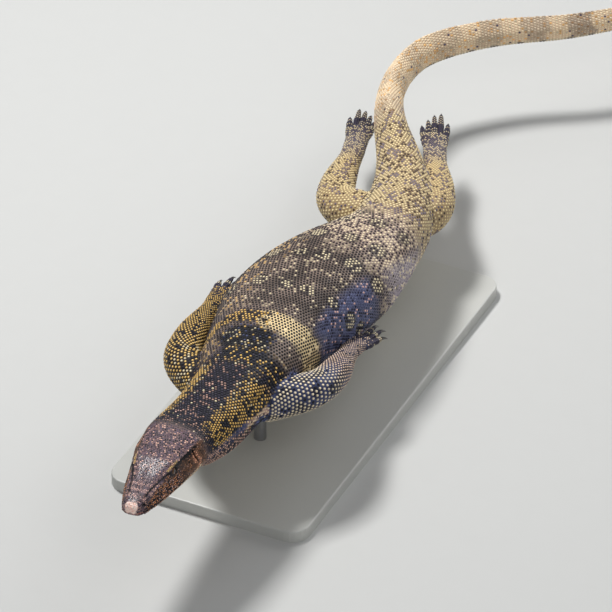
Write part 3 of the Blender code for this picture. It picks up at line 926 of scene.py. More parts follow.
def lip_arc(s):
    """Arc of the mouth line at a distance from the snout, in mm, read from the head's own rings."""
    return np.interp(s, LIP_STATIONS, LIP_ARCS)


def head_paint(scale, ground, s, a, chance):
    """Markings of the head, laid over the base colours where s is under about 100."""
    side = np.abs(a)
    head = window(s, -20, 104, 7)
    patch = mottle(s, a, 6, 3)
    streak = mottle(s * 0.5, a * 1.4, 4, 6)
    lay(scale, PLUM, head)
    lay(scale, SLATE, head * (patch > 0.50) * 0.85)
    lay(scale, NIGHT * 1.2, head * (chance < 0.26))
    lay(ground, paint(0.42, 0.34, 0.36), head)
    lay(scale, ROSE * 0.50, head * (chance > 0.62) * (streak > 0.35))
    bright = mottle(s, a, 4.5, 4)
    lay(scale, ROSE * (1.1, 1.1, 1.0), head * (chance > 0.95 - 0.26 * (bright > 0.66)))
    crossbars = 0.5 + 0.5 * np.cos(2 * math.pi * (s - 13) / 7.5)
    pale_snout = window(s, 5, 33, 6) * (side < 12) * np.clip(crossbars * 2.4 - 1.1, 0, 1)
    lay(scale, ROSE, head * pale_snout * (chance > 0.25))
    dark_snout = head * window(s, 6, 33, 5) * (side < 12) * np.clip(0.9 - crossbars * 2.4, 0, 1)
    lay(scale, NIGHT * 2.0, dark_snout * 0.7)

    cheek = head * window(side, 14 + 0.15 * np.clip(s - 26, 0, 70), 60, 2.5) * window(s, 6, 112, 5)
    lay(scale, BROWN * 2.0, cheek)
    lay(ground, NIGHT, cheek * 0.9)
    lay(ground, paint(0.38, 0.28, 0.22), cheek * np.clip((s - 62) / 8, 0, 1) * 0.8)
    fore_cheek = cheek * np.clip((66 - s) / 14, 0.25, 1)
    lay(scale, ORANGE * 1.25, fore_cheek * (chance < 0.50))
    lay(scale, ROSE * 1.1, fore_cheek * (chance > 0.82))
    lay(scale, NIGHT, fore_cheek * ((chance > 0.50) & (chance < 0.74)))
    lips = head * np.clip(1.6 - np.abs(side - lip_arc(s)) / 1.2, 0, 1) * (s < 74)
    blocks = np.sin(2 * math.pi * s / 6.5) > -0.15
    lay(scale, np.where(blocks[:, None], ROSE * (1.1, 0.95, 0.7), NIGHT * 1.5), lips)
    mouth = head * np.clip(1.5 - np.abs(side - lip_arc(s)) / 0.5, 0, 1) * (s < 74)
    lay(ground, NIGHT * 0.6, mouth)

    # the dark band along the eye is painted shadow under the brow edge, on scales and skin alike
    course = near_line(s, side, EYE_SHADOW_BAND)
    wide = np.interp(s, (12, 40, 56, 70, 84, 93), (0.5, 0.8, 1.0, 1.5, 1.8, 1.2))
    dark = head * np.clip((wide - course) * 1.6 + 0.8, 0, 1) * (s > 12)
    lay(scale, NIGHT * 0.5, dark)
    lay(ground, NIGHT * 0.5, dark)
    over = near_line(s, side, BROW_LINE)
    lay(scale, paint(0.95, 0.82, 0.56), head * np.clip(1.8 - 1.7 * over, 0, 1) * (chance > 0.12))
    lay(ground, GOLD * 0.45, head * np.clip(1.6 - 1.8 * over, 0, 1))
    # painted shade in the socket round the eye
    socket = np.clip(2.2 - np.hypot((s - 55) / 6.5, (side - 23.0) / 3.4) * 1.6, 0, 1)
    lay(scale, NIGHT * 0.6, head * socket)
    lay(ground, NIGHT * 0.5, head * socket)
    brow_edge = head * window(s, 30, 92, 8) * np.clip(1 - np.abs(course - 3.2) / 1.2, 0, 1) * (side < 24)
    lay(scale, ROSE * 0.55, brow_edge * (chance > 0.3))

    rim = np.hypot((s - 86.0) / 4.2, (side - 36.5) / 9.5)
    lay(scale, paint(0.90, 0.64, 0.50), np.clip(1.3 - rim, 0, 1) * 2.5 * (rim > 0.40) * (chance > 0.25))
    lay(ground, paint(0.55, 0.38, 0.32), np.clip(1.2 - rim, 0, 1) * (rim > 0.40))
    tip = np.hypot(s / 6.0, np.maximum(side - 1.5, 0) / 6.2) + 0.16 * (mottle(s, a, 1.6, 17) - 0.5)
    mask = np.clip((1.06 - tip) * 6, 0, 1)
    lay(scale, paint(1.0, 0.93, 0.89), mask)
    lay(scale, paint(0.93, 0.72, 0.64), mask * (chance < 0.22))
    lay(ground, paint(1.0, 0.88, 0.83), mask)
    lay(ground, paint(0.90, 0.66, 0.60), mask * np.clip(mottle(s * 1.3, a, 1.5, 18) * 2.2 - 1.2, 0, 1))
    mouth_front = (s < 7) * np.clip(1.7 - np.abs(side - lip_arc(s)) / 0.5, 0, 1)
    lay(ground, paint(0.62, 0.30, 0.27), mouth_front)


def trunk_paint(s, a, half, chance):
    """Colour of the scale and of the skin at places on head, trunk and tail."""
    side = np.abs(a)
    girth = side / np.maximum(half, 1)
    scale = np.tile(UMBER, (len(s), 1))
    ground = np.tile(NET * 0.75, (len(s), 1))
    patches = mottle(s, a, 15, 5)
    lay(scale, SLATE * 0.8, patches * 0.5)

    neck = window(s, 94, 250, 14)
    lay(ground, NIGHT * 1.2, neck)
    lay(scale, SLATE * 0.7, neck)
    lay(scale, ROSE * 0.55, neck * (chance < 0.28))
    neck_side = window(side, 12, 62, 12) * window(s, 104, 216, 18)
    lay(ground, NIGHT * 0.6, neck_side * 0.9)
    lay(scale, NIGHT * 1.2, neck_side * 0.9)
    lay(scale, GOLD * (1.1, 1.1, 1.1), neck_side * (chance < 0.30 + 0.45 * neck_side))
    lay(scale, CREAM, neck * (chance > 0.965))

    front = window(s, 206, 262, 16) * (side < 85)
    lay(ground, NIGHT, front)
    lay(scale, NIGHT, front)
    lay(scale, GOLD, front * (chance < 0.24 + 0.18 * (patches > 0.5)))
    lay(scale, SLATE * 0.9, front * (chance > 0.84))
    pale_front = window(s, 214, 268, 14) * window(a, -85, -14, 16)
    lay(ground, NET * 0.85, pale_front * 0.85)
    lay(scale, UMBER * 1.3, pale_front)
    lay(scale, GOLD * 0.75, pale_front * (chance < 0.22))

    behind = window(s, 290, 640, 20)
    lay(ground, NET * (0.32 + 0.44 * patches)[:, None], behind)
    lay(scale, UMBER * 0.6, behind)
    lay(scale, CREAM * 0.7, behind * (chance < 0.08 + 0.14 * (patches > 0.6)))
    right = behind * window(a, -150, -16, 20)
    lay(ground, NET * 0.80, right * 0.8)
    lay(scale, GOLD, right * (chance < 0.10 + 0.22 * (mottle(s, a, 9, 14) > 0.5)))
    rear = window(s, 410, 640, 50)
    lay(ground, NET * 1.25, rear * 0.8)
    lay(scale, UMBER * 1.4, rear)
    lay(scale, CREAM * 1.05, rear * (chance < 0.18 + 0.40 * (patches > 0.52)))
    band = window(s, 452, 500, 14) * (girth < 0.7)
    lay(scale, CREAM, band * (chance < 0.42))
    # painted haze of light over the sides of the rear, lightening them where they lie in shade
    painted_haze = window(s, 420, 560, 40) * window(side, 46, 140, 16)
    lay(ground, paint(0.76, 0.71, 0.70), painted_haze)
    lay(scale, paint(0.58, 0.54, 0.58), painted_haze * (chance > 0.3))
    # The flank's blue ground and scales are painted sky reflection on the wet skin, lifting the flank
    # where it lies in shade. Its dark spots and rose scales are markings.
    flank = window(s, 292, 430, 26) * window(a, 44, 140, 14)
    lay(ground, paint(0.40, 0.42, 0.56), flank * 0.95)
    lay(scale, paint(0.33, 0.35, 0.47), flank * 0.9)
    lay(scale, paint(0.14, 0.14, 0.22), flank * (mottle(s, a, 8, 16) > 0.66) * (chance > 0.3))
    lay(scale, ROSE, flank * (chance < 0.14))

    blotch = np.clip((1.25 - np.hypot((s - 252) / 18, (a - 2) / 32)) * 2.5, 0, 1)
    lay(ground, NIGHT * 0.9, blotch)
    lay(scale, NIGHT * 0.6, blotch)
    lay(scale, CREAM * 0.7, blotch * (chance < 0.14))
    lay(scale, GOLD * 0.8, blotch * (chance > 0.90))
    # some scales of the blotch get the blue of painted sky reflection
    lay(scale, SKY_SHEEN_BLUE * 0.7, blotch * ((chance > 0.70) & (chance < 0.90)))
    arc_course = 284 - 0.045 * np.clip(-14 - a, 0, 90) ** 1.75
    arc_course = np.maximum(arc_course, 226)
    arc_reach = np.where(a > 0, 14.0 + 0.06 * a, 12.0) + 5 * (mottle(s, a, 5, 15) - 0.5)
    arc = np.clip((arc_reach - np.abs(s - arc_course)) / 4.5, 0, 1) * (girth < 0.66)
    creamy = (a > 6 + 16 * (mottle(s, a, 6, 19) - 0.5)) * 1.0
    lay(ground, UMBER * 1.2, arc * (1 - creamy))
    lay(scale, UMBER * 0.8, arc)
    lay(scale, GOLD * 1.05, (chance < 0.84 * arc) * (1 - creamy))
    lay(ground, CREAM * (1.0, 0.92, 0.80), arc * creamy)
    lay(scale, NIGHT * 0.6, arc * creamy)
    lay(scale, CREAM * 0.9, arc * creamy * (chance > 0.93))
    net = window(s, 234, 274, 12) * window(a, 18, 80, 12) * (1 - arc)
    lay(ground, NET * 0.8, net * 0.85)
    lay(scale, NIGHT * 0.6, net)
    lay(scale, CREAM * 0.7, net * (chance < 0.10))
    shoulder = window(s, 176, 262, 14) * window(side, 50, 92, 9)
    # the blue of the shoulder's skin and of some scales is painted sky reflection on wet skin
    lay(ground, SKY_SHEEN_BLUE, shoulder * 0.9)
    lay(scale, NIGHT * 1.5, shoulder)
    lay(scale, SKY_SHEEN_BLUE * 1.3, shoulder * (chance < 0.40))
    lay(scale, CREAM * 0.8, shoulder * (chance > 0.90))
    fold = near_line(s, side, SHOULDER_FOLD)
    crest = np.clip(2.0 - fold / 2.4, 0, 1) * (girth < 0.8)
    lay(ground, ROSE * 0.8, crest * 0.8)
    lay(scale, CREAM, crest * (chance < 0.72))

    for place, out, radius in ROSETTES:
        reach = np.hypot(s - place, a - out) / radius
        near = reach < 1.6
        ring = np.clip((1.15 - reach) * 5, 0, 1) * np.clip((reach - 0.18) * 8, 0, 1)
        lay(ground, NIGHT * 1.3, np.clip((1.45 - reach) * 4, 0, 1) * 0.7)
        lay(scale, UMBER * 0.7, near * np.clip((1.5 - reach) * 4, 0, 1))
        lay(scale, CREAM, ring * (chance < 0.85))

    # the hip's gold dots and ground are markings, made paler as painted haze of light over the rear
    hip = window(s, 495, 820, 40)
    spots = mottle(s, a, 12, 8)
    lay(ground, paint(0.62, 0.53, 0.40), hip)
    lay(scale, paint(0.30, 0.24, 0.21), hip)
    lay(scale, paint(0.46, 0.42, 0.47), hip * (spots < 0.35))
    lay(scale, paint(1.0, 0.92, 0.72), hip * (chance < 0.50 + 0.40 * spots))

    # The tail's bands are markings. Their pale parts, and the paleness that hides the bands near the
    # base, are lightened further as painted haze of light.
    tail = window(s, 700, 1600, 50)
    bands = 0.5 + 0.5 * np.sin(2 * math.pi * (s + 9 * mottle(s, a, 16, 9)) / 47)
    pale = np.clip((bands - 0.34) * 3.5, 0, 1)
    pale = np.maximum(pale, np.interp(s, (880, 1000, 1180), (0.80, 0.58, 0.0)))
    lay(ground, paint(0.36, 0.31, 0.33), tail)
    lay(ground, paint(0.90, 0.79, 0.66), tail * pale)
    lay(scale, paint(0.34, 0.31, 0.37), tail)
    lay(scale, paint(1.0, 0.93, 0.79), tail * pale * (chance < 0.84))
    lay(scale, paint(0.93, 0.74, 0.48), tail * pale * (chance > 0.86))
    lay(scale, paint(0.84, 0.70, 0.54), tail * (1 - pale) * (chance < 0.30))

    under = np.clip((girth - 0.72) * 9, 0, 1)
    lay(scale, BELLY, under)
    lay(ground, BELLY * 0.6, under)
    wave = np.sin(2 * math.pi * (s + 5 * mottle(s, side, 20, 10)) / 25)
    bars = np.clip(wave * 3 - 1.0, 0, 1) * np.clip((0.93 - girth) * 10, 0, 1)
    lay(scale, SLATE * 0.8, under * bars * (s > 105))
    lay(ground, NIGHT * 1.5, under * bars * (s > 105))
    throat = under * window(s, 20, 230, 20)
    lay(scale, ROSE * (1.05, 1.1, 1.0), throat * (1 - bars) * (chance < 0.5))
    seam = window(s, 96, 172, 12) * window(side, 44, 56, 4)
    # the blue along this seam is painted sky reflection on wet skin
    lay(ground, SKY_SHEEN_BLUE, seam)
    lay(scale, SKY_SHEEN_BLUE * 0.6, seam * (chance > 0.2))
    jaw_angle = window(s, 88, 170, 7) * window(side, 40 + 0.14 * np.clip(s - 96, 0, 80), 72, 5)
    lay(ground, NIGHT * 1.5, jaw_angle * 0.8)
    lay(scale, ROSE * (1.08, 1.12, 1.05), jaw_angle * (chance < 0.72))
    head_paint(scale, ground, s, a, chance)
    jaw = window(s, 4, 100, 6) * np.clip((side - lip_arc(s) - 2.0) / 1.5, 0, 1)
    lay(scale, CREAM * 0.9, jaw)
    lay(scale, ORANGE, jaw * (chance < 0.22))
    lay(scale, SLATE, jaw * (chance > 0.86))
    lay(ground, NET, jaw)
    lay(scale, ROSE * 1.1, jaw * (s < 12))
    lay(ground, ROSE * 0.8, jaw * (s < 12))
    return scale, ground


print("dark skin, amounts of light:", NIGHT.round(3))


# %% Markings of the limbs
def limb_paint(name, t, a, half, chance):
    """The same for a limb: t is the share of its length, over 1 on the toes, a its arc in mm."""
    fore = name.startswith("fore")
    left = name.endswith("left")
    girth = np.abs(a) / np.maximum(half, 1)
    patches = mottle(t * 130, a, 9, 12)
    scale = np.tile(NIGHT * 1.5, (len(t), 1))
    ground = np.tile(NIGHT, (len(t), 1))
    if fore and left:
        # the blue of the arm's skin near its root is painted sky reflection on wet skin
        lay(ground, SKY_SHEEN_BLUE * 0.8, np.clip((0.62 - t) * 5, 0.45, 0.8))
        lay(ground, NIGHT, (patches > 0.7) * 0.7)
        lay(scale, CREAM * (1.05, 1.05, 1.12), chance < 0.94)
        lay(scale, ROSE * 0.8, np.clip((t - 0.40) * 5, 0, 0.6) * (chance < 0.94))
    elif fore:
        lay(ground, UMBER * 0.9, np.full(len(t), 0.8))
        lay(scale, GOLD * (1.05, 1.1, 1.25), chance < 0.72 + 0.28 * patches)
        lay(scale, CREAM, (chance < 0.4) * (patches > 0.5) * np.clip((0.45 - t) * 5, 0, 1))
    else:
        # the hind leg's pale ground is partly its markings and partly painted haze of light, lifting it
        # where it lies in shade
        lay(ground, paint(0.68, 0.58, 0.43), np.full(len(t), 0.9))
        lay(scale, paint(0.28, 0.22, 0.19), np.ones(len(t)))
        lay(scale, paint(0.44, 0.40, 0.46), (patches < 0.35) * 0.8)
        lay(scale, paint(1.0, 0.92, 0.70), chance < 0.52 + 0.42 * patches)
        shank = np.clip((t - 0.62) * 6, 0, 1)
        # the blue of the shank's skin is painted sky reflection on wet skin
        lay(ground, SKY_SHEEN_BLUE, shank * 0.6)
        lay(scale, SLATE * 1.3, shank * (chance > 0.5) * 0.9)
    hand = np.clip((t - 0.84) * 8, 0, 1)
    lay(scale, SLATE, hand * (chance > 0.5))
    toes = np.clip((t - 1.0) * 30, 0, 1)
    lay(scale, SLATE * 0.8, toes)
    lay(ground, SLATE * 0.7, np.maximum(toes, hand * 0.6))
    lay(scale, CREAM * 0.85, toes * (np.sin(t * 60) > 0.45))
    under = np.clip((girth - 0.68) * 8, 0, 1) * (1 - 0.6 * toes)
    lay(scale, BELLY, under)
    lay(ground, BELLY * 0.55, under)
    return scale, ground


print("limbs read", len(LIMB_JOINTS), "courses")


# %% The skin reads its own markings
LIMB_SAMPLES = 60
TOE_SAMPLES = 20


def surface_table():
    """Every sample of the plan: region, its two numbers, half girth, and the point in space."""
    rows = []
    for distance, (place, arc, _, half) in zip(body_stations, surfaces):
        rows.append(("trunk", distance * 1000, arc * 1000, half * 1000, place))
    for limb in limbs:
        for share in np.linspace(0, 1, LIMB_SAMPLES):
            place, arc, _, half = limb.ring(share, LIMB_FINE_SIDES)
            rows.append((limb.name, share, arc * 1000, half * 1000, place))
        for toe in limb.toe_roots():
            for share in np.linspace(-0.1, TOE_KNUCKLES[-1][0], TOE_SAMPLES):
                place, _ = toe_ring(toe, share, TOE_SIDES)
                rows.append((limb.name, 1 + share, toe_arcs(TOE_SIDES), TOE_HALF, place))
    return rows


table_rows = surface_table()
regions = ["trunk"] + [limb.name for limb in limbs]
samples = np.vstack([row[4] for row in table_rows])
sample_region = np.concatenate([np.full(len(r[4]), regions.index(r[0])) for r in table_rows])
sample_along = np.concatenate([np.full(len(r[4]), r[1], float) for r in table_rows])
sample_arc = np.concatenate([r[2] for r in table_rows])
sample_half = np.concatenate([np.full(len(r[4]), r[3], float) for r in table_rows])
sample_tree = tree_of(samples)


def set_tone(mesh, colours):
    """Stores a colour for each point, which the materials read as the attribute tone."""
    layer = mesh.color_attributes.new("tone", "FLOAT_COLOR", "POINT")
    four = np.ones((len(colours), 4), np.float32)
    four[:, :3] = colours
    layer.data.foreach_set("color", four.ravel())


nearest = np.array([sample_tree.find(Vector(p))[1] for p in skin_points])
skin_tones = np.zeros((len(skin_points), 3))
for number, region in enumerate(regions):
    own = sample_region[nearest] == number
    picked = nearest[own]
    middle = np.full(len(picked), 0.5)
    if region == "trunk":
        ground = trunk_paint(sample_along[picked], sample_arc[picked], sample_half[picked], middle)[1]
    else:
        along = sample_along[picked]
        ground = limb_paint(region, along, sample_arc[picked], sample_half[picked], middle)[1]
    skin_tones[own] = ground
# painted shade in the holes: the nostrils are dark all round their place, and the ears only under the
# skin
HOLE_PAINTED_SHADE = NIGHT * 0.35
NOSTRIL_DARK_REACH = 0.0030
EAR_DARK_REACH = 0.0100
EAR_DARK_DEPTH = 0.0004
for nostril, _ in nostrils:
    skin_tones[np.linalg.norm(skin_points - nostril, axis=1) < NOSTRIL_DARK_REACH] = HOLE_PAINTED_SHADE
for ear, side in ears:
    near_ear = np.linalg.norm(skin_points - ear, axis=1) < EAR_DARK_REACH
    skin_tones[near_ear & ((skin_points - ear) @ side < -EAR_DARK_DEPTH)] = HOLE_PAINTED_SHADE
set_tone(skin.data, skin_tones)
print("skin coloured at", len(skin_points), "points")

# %% [markdown]
# ## Scales
# A monitor's scales are small beads set in rows round the body, each row shifted by half a
# scale from the next, with soft granular skin between them. They are largest on the upper
# arms and finest on the snout and at the end of the tail. A texture would look flat at the
# edge of the body, so each scale is a little closed dome of solid mesh: a rim sunk in the
# skin, a shoulder and a top. Tens of thousands of them are made at once from arrays, and
# joined into a few pieces by region.

# %% Settling places on the skin
skin_faces = BVHTree.FromObject(skin, bpy.context.evaluated_depsgraph_get())
rng = np.random.default_rng(11)
WRONG_WAY = -0.2
FACING_SHARE = 0.4
TRUNK_UNDER = 0.0030
LIMB_UNDER = 0.0034
BODY_OVER = 0.0016
HEAD_OVER = 0.0004


def settle(points, facing, under, over):
    """Moves places to the nearest skin. Those too far under or over it are left out.

    Where the nearest face looks the wrong way, as the wall of a hole does, a ray from outside
    finds the skin instead."""
    kept = np.zeros(len(points), bool)
    placed = np.array(points)
    normals = np.array(facing)
    for number, point in enumerate(points):
        found, normal, _, distance = skin_faces.find_nearest(Vector(point))
        if np.dot(normal, facing[number]) < WRONG_WAY:
            start = Vector(point + facing[number] * under)
            found, normal, _, distance = skin_faces.ray_cast(start, Vector(-facing[number]), under)
            if found is None:
                continue
            distance = (found - Vector(point)).length
        found = np.array(found)
        normal = np.array(normal)
        height = np.dot(point - found, normal)
        if height > over[number] or distance > under:
            continue
        blend = normal + FACING_SHARE * facing[number]
        normals[number] = blend / np.linalg.norm(blend)
        placed[number] = found
        kept[number] = True
    return kept, placed, normals


class Scales:
    """Places of scales that are collected region by region, as arrays."""

    def __init__(self):
        self.parts = []

    def add(self, **columns):
        """Adds scales. A column given as one number is the same for all of them."""
        count = len(columns["place"])
        for name, value in columns.items():
            if np.ndim(value) == 0:
                columns[name] = np.full(count, float(value))
        self.parts.append(columns)

    def column(self, name):
        return np.concatenate([part[name] for part in self.parts])


# mm from the snout: spacing of the scales round the body and along it
SPACING = (
    (0, 1.5, 1.4),
    (40, 1.7, 1.6),
    (90, 2.0, 1.9),
    (110, 2.4, 2.3),
    (150, 3.1, 3.1),
    (200, 3.2, 3.2),
    (240, 3.3, 3.3),
    (300, 3.2, 3.3),
    (360, 3.2, 3.3),
    (440, 3.2, 3.4),
    (520, 3.4, 3.5),
    (640, 3.3, 3.5),
    (800, 2.9, 3.4),
    (1000, 2.6, 3.1),
    (1300, 2.1, 2.8),
    (1510, 1.4, 2.2),
)


# how near the belly's middle line a row may come, and how far head scales stray, in spacings
ROW_EDGE = 0.3
STRAY = 0.22
STRAY_END = 96


def read_ring(arc, values, where):
    """Reads points or directions of a ring at any arcs."""
    order = np.argsort(arc)
    sorted_arc = arc[order]
    sorted_values = values[order]
    return np.stack([np.interp(where, sorted_arc, sorted_values[:, k]) for k in range(3)], axis=1)


def trunk_rows():
    """Candidate places for the scales of head, trunk and tail."""
    found = Scales()
    distance = 1.6
    row = 0
    while distance < TOTAL_LENGTH * 1000 - 3:
        across = float(smooth_read(SPACING, 1, distance))
        along = float(smooth_read(SPACING, 2, distance))
        place, arc, facing, half = body_surface(distance / 1000)
        arc = arc * 1000
        half = half * 1000
        count = int((half - ROW_EDGE * across) / across)
        columns = np.arange(-count, count + 1) + 0.5 * (row % 2)
        wild = STRAY * across * (distance < STRAY_END)
        where = columns * across + rng.uniform(-wild, wild, len(columns))
        where = where[np.abs(where) < half - ROW_EDGE * across]
        found.add(
            place=read_ring(arc, place, where),
            facing=read_ring(arc, facing, where),
            s=distance,
            a=where,
            half=half,
            across=across,
            along=along,
            back=np.tile(spine_frame(distance / 1000)[3], (len(where), 1)),
        )
        distance += along
        row += 1
    return found


trunk = trunk_rows()
print("places on the trunk:", len(trunk.column("s")))


# %% Places on the limbs and toes
LIMB_SPACING = {
    "fore": ((0, 3.6), (0.30, 3.8), (0.45, 3.3), (0.60, 2.6), (0.85, 2.1), (1.0, 2.1)),
    "hind": ((0, 3.3), (0.4, 3.2), (0.6, 2.7), (0.85, 2.3), (1.0, 2.3)),
}
TOE_SPACING = 2.3
TOE_SCALES_ROUND = 8
TOE_SCALE_WIDTH = 2.9
FRONT_RINGS = (0.83, 0.66, 0.49, 0.32)


def limb_rows(limb):
    """Candidate places for the scales of a limb and its toes."""
    found = Scales()
    table = LIMB_SPACING["fore" if limb.fore else "hind"]
    share = 0.0
    row = 0
    while share < 1.0:
        spacing = float(smooth_read(table, 1, share))
        place, arc, facing, half = limb.ring(share, LIMB_FINE_SIDES)
        arc = arc * 1000
        half = half * 1000
        count = int((half - ROW_EDGE * spacing) / spacing)
        where = (np.arange(-count, count + 1) + 0.5 * (row % 2)) * spacing
        where = where[np.abs(where) < half - ROW_EDGE * spacing]
        found.add(
            place=read_ring(arc, place, where),
            facing=read_ring(arc, facing, where),
            s=share,
            a=where,
            half=half,
            across=spacing,
            along=spacing,
            back=np.tile(limb.frame(share)[3], (len(where), 1)),
            strip=0,
        )
        share += spacing / 1000 / limb.length
        row += 1
    # the flat front of the limb, in rings that grow smaller towards its middle
    middle, _, _, along = limb.frame(0.0)
    spacing = table[0][1]
    rim, rim_arc, _, half = limb.ring(0.0, LIMB_FINE_SIDES)
    order = np.argsort(rim_arc)
    for ring_share in FRONT_RINGS:
        where = np.arange(-half * 1000, half * 1000 - spacing / 2, spacing / ring_share)
        spots = read_ring(rim_arc[order] * 1000, rim[order], where)
        found.add(
            place=middle + (spots - middle) * ring_share,
            facing=np.tile(-along, (len(where), 1)),
            s=0,
            a=where,
            half=half * 1000,
            across=spacing,
            along=spacing,
            back=(middle - spots) / np.linalg.norm(middle - spots, axis=1)[:, None],
            strip=0,
        )
    for strip, toe in enumerate(limb.toe_roots(), start=1):
        length = toe[4] * 1000
        for along in np.arange(0.5, length, TOE_SPACING):
            place, outward = toe_ring(toe, along / length, TOE_SCALES_ROUND)
            thick = float(smooth_read(TOE_KNUCKLES, 1, along / length))
            found.add(
                place=place,
                facing=outward,
                s=1 + along / length,
                a=toe_arcs(TOE_SCALES_ROUND),
                half=TOE_HALF,
                across=TOE_SCALE_WIDTH * thick,
                along=TOE_SPACING,
                back=np.tile(toe[1], (TOE_SCALES_ROUND, 1)),
                strip=strip,
            )
    return found


limb_places = {limb.name: limb_rows(limb) for limb in limbs}
print("places on the limbs:", sum(len(p.column("s")) for p in limb_places.values()))


# %% Making the domes
# rings of a dome from its sunk rim to its spot: reach, height, how much of the scale's own
# colour a dark scale and a pale scale show there
DOME_RINGS = (
    (1.00, 0.00, 0.55, 0.05),
    (0.76, 0.70, 1.00, 0.35),
    (0.42, 0.95, 1.00, 1.00),
)
DOME_RIM_SUNK = 0.00035
DOME_FLOOR_SUNK = 0.0006
PATCH_REACH = 0.0015
# a dome is longer than wide, leans back, and has a small painted highlight at its top
DOME_STRETCH = 1.08
DOME_LEAN = 0.10
TOP_LEAN = 0.12
TOP_PAINTED_HIGHLIGHT = 1.05


def dome_piece(name, places, rim_tones, top_tones, unwrap, sides, fill, height):
    """Closed domes as one joined mesh, with their colours and a small patch each on the unwrap."""
    centre = places["place"]
    normal = places["facing"]
    back = places["back"] - normal * np.sum(places["back"] * normal, axis=1)[:, None]
    back /= np.maximum(np.linalg.norm(back, axis=1), 1e-9)[:, None]
    side = np.cross(back, normal)
    count = len(centre)
    rings = len(DOME_RINGS)
    long = places["along"] / 1000 * fill / 2 * DOME_STRETCH
    wide = places["across"] / 1000 * fill / 2
    tall = height * places["across"] / 1000
    angle = angles_round(sides) + 0.5 * math.pi / sides
    points = np.zeros((count, sides * rings + 2, 3))
    tones = np.zeros((count, sides * rings + 2, 3))
    darker = (top_tones.mean(axis=1) < rim_tones.mean(axis=1))[:, None]
    for number, (reach, rise, dark_share, pale_share) in enumerate(DOME_RINGS):
        own = slice(number * sides, (number + 1) * sides)
        share = np.where(darker, dark_share, pale_share)
        tones[:, own] = (rim_tones + (top_tones - rim_tones) * share)[:, None]
        lift = normal * (tall * rise - DOME_RIM_SUNK * (number == 0))[:, None]
        lean = back * (long * DOME_LEAN * rise)[:, None]
        for k in range(sides):
            run = back * (math.cos(angle[k]) * long * reach)[:, None]
            out = side * (math.sin(angle[k]) * wide * reach)[:, None]
            points[:, number * sides + k] = centre + run + out + lift + lean
    top = sides * rings
    points[:, top] = centre + normal * tall[:, None] + back * (long * TOP_LEAN)[:, None]
    points[:, top + 1] = centre - normal * DOME_FLOOR_SUNK
    # the top spot of each dome is painted a little lighter as a highlight
    tones[:, top] = top_tones * TOP_PAINTED_HIGHLIGHT
    tones[:, top + 1] = rim_tones
    ring = np.arange(sides)
    after = (ring + 1) % sides
    walls = [
        np.stack([ring + low, ring + low + sides, after + low + sides, after + low], axis=1).ravel()
        for low in range(0, sides * (rings - 1), sides)
    ]
    crown = ring + sides * (rings - 1)
    caps = np.stack([crown, np.full(sides, top), after + sides * (rings - 1)], axis=1)
    floors = np.stack([ring, after, np.full(sides, top + 1)], axis=1)
    loops = np.concatenate([*walls, caps.ravel(), floors.ravel()])
    totals = np.array([4] * sides * (rings - 1) + [3] * sides * 2)
    per_scale = sides * rings + 2
    indices = (np.arange(count)[:, None] * per_scale + loops[None, :]).ravel()
    starts = np.concatenate([[0], np.cumsum(totals)[:-1]])
    all_starts = (np.arange(count)[:, None] * len(loops) + starts[None, :]).ravel()
    mesh = bpy.data.meshes.new(name)
    mesh.vertices.add(count * per_scale)
    mesh.vertices.foreach_set("co", points.astype(np.float32).ravel())
    mesh.loops.add(len(indices))
    mesh.loops.foreach_set("vertex_index", indices.astype(np.int32))
    mesh.polygons.add(count * len(totals))
    mesh.polygons.foreach_set("loop_start", all_starts.astype(np.int32))
    mesh.polygons.foreach_set("loop_total", np.tile(totals, count).astype(np.int32))
    mesh.update(calc_edges=True)
    set_tone(mesh, tones.reshape(-1, 3))
    # the patch repeats the dome as seen from above, and the floor folds flat under its rim
    circle = np.stack([np.cos(angle), np.sin(angle)], axis=1) * PATCH_REACH
    flat = np.vstack([circle * row[0] for row in DOME_RINGS] + [np.zeros((2, 2))])
    patch = flat[loops]
    patch[len(loops) - 3 * sides + 2 :: 3] = (circle + np.roll(circle, -1, axis=0)) / 2
    layer = mesh.uv_layers.new(name="OFBake")
    uvs = unwrap[:, None, :] + patch[None]
    layer.data.foreach_set("uv", uvs.astype(np.float32).ravel())
    mesh.shade_smooth()
    thing = bpy.data.objects.new(name, mesh)
    bpy.context.scene.collection.objects.link(thing)
    thing.select_set(False)
    return thing


def spread(values, low, high):
    """Puts values on the span from 0.01 to 0.99."""
    return 0.01 + 0.98 * (values - low) / (high - low)


def chosen(rows, own, placed, normals):
    """The columns that make domes, for the scales that are kept."""
    columns = {name: rows.column(name)[own] for name in ("back", "across", "along")}
    return {"place": placed[own], "facing": normals[own], **columns}


# half length and half height of the almond where an eye shows, and how far it is looked for
ALMOND_LONG = 0.0058
ALMOND_TALL = 0.0040
EYE_NEAR = 0.012
MOUTH_START = 6
MOUTH_END = 74
MOUTH_GAP = 0.45
eye_frames = [eye_place(hand) for hand in (1, -1)]


def over_eye(points):
    """True for places inside the almond where an eye shows."""
    hidden = np.zeros(len(points), bool)
    for centre, (outward, back, up) in eye_frames:
        away = points - centre
        near = (away @ outward > 0) & (np.linalg.norm(away, axis=1) < EYE_NEAR)
        hidden |= near & (((away @ back) / ALMOND_LONG) ** 2 + ((away @ up) / ALMOND_TALL) ** 2 < 1)
    return hidden


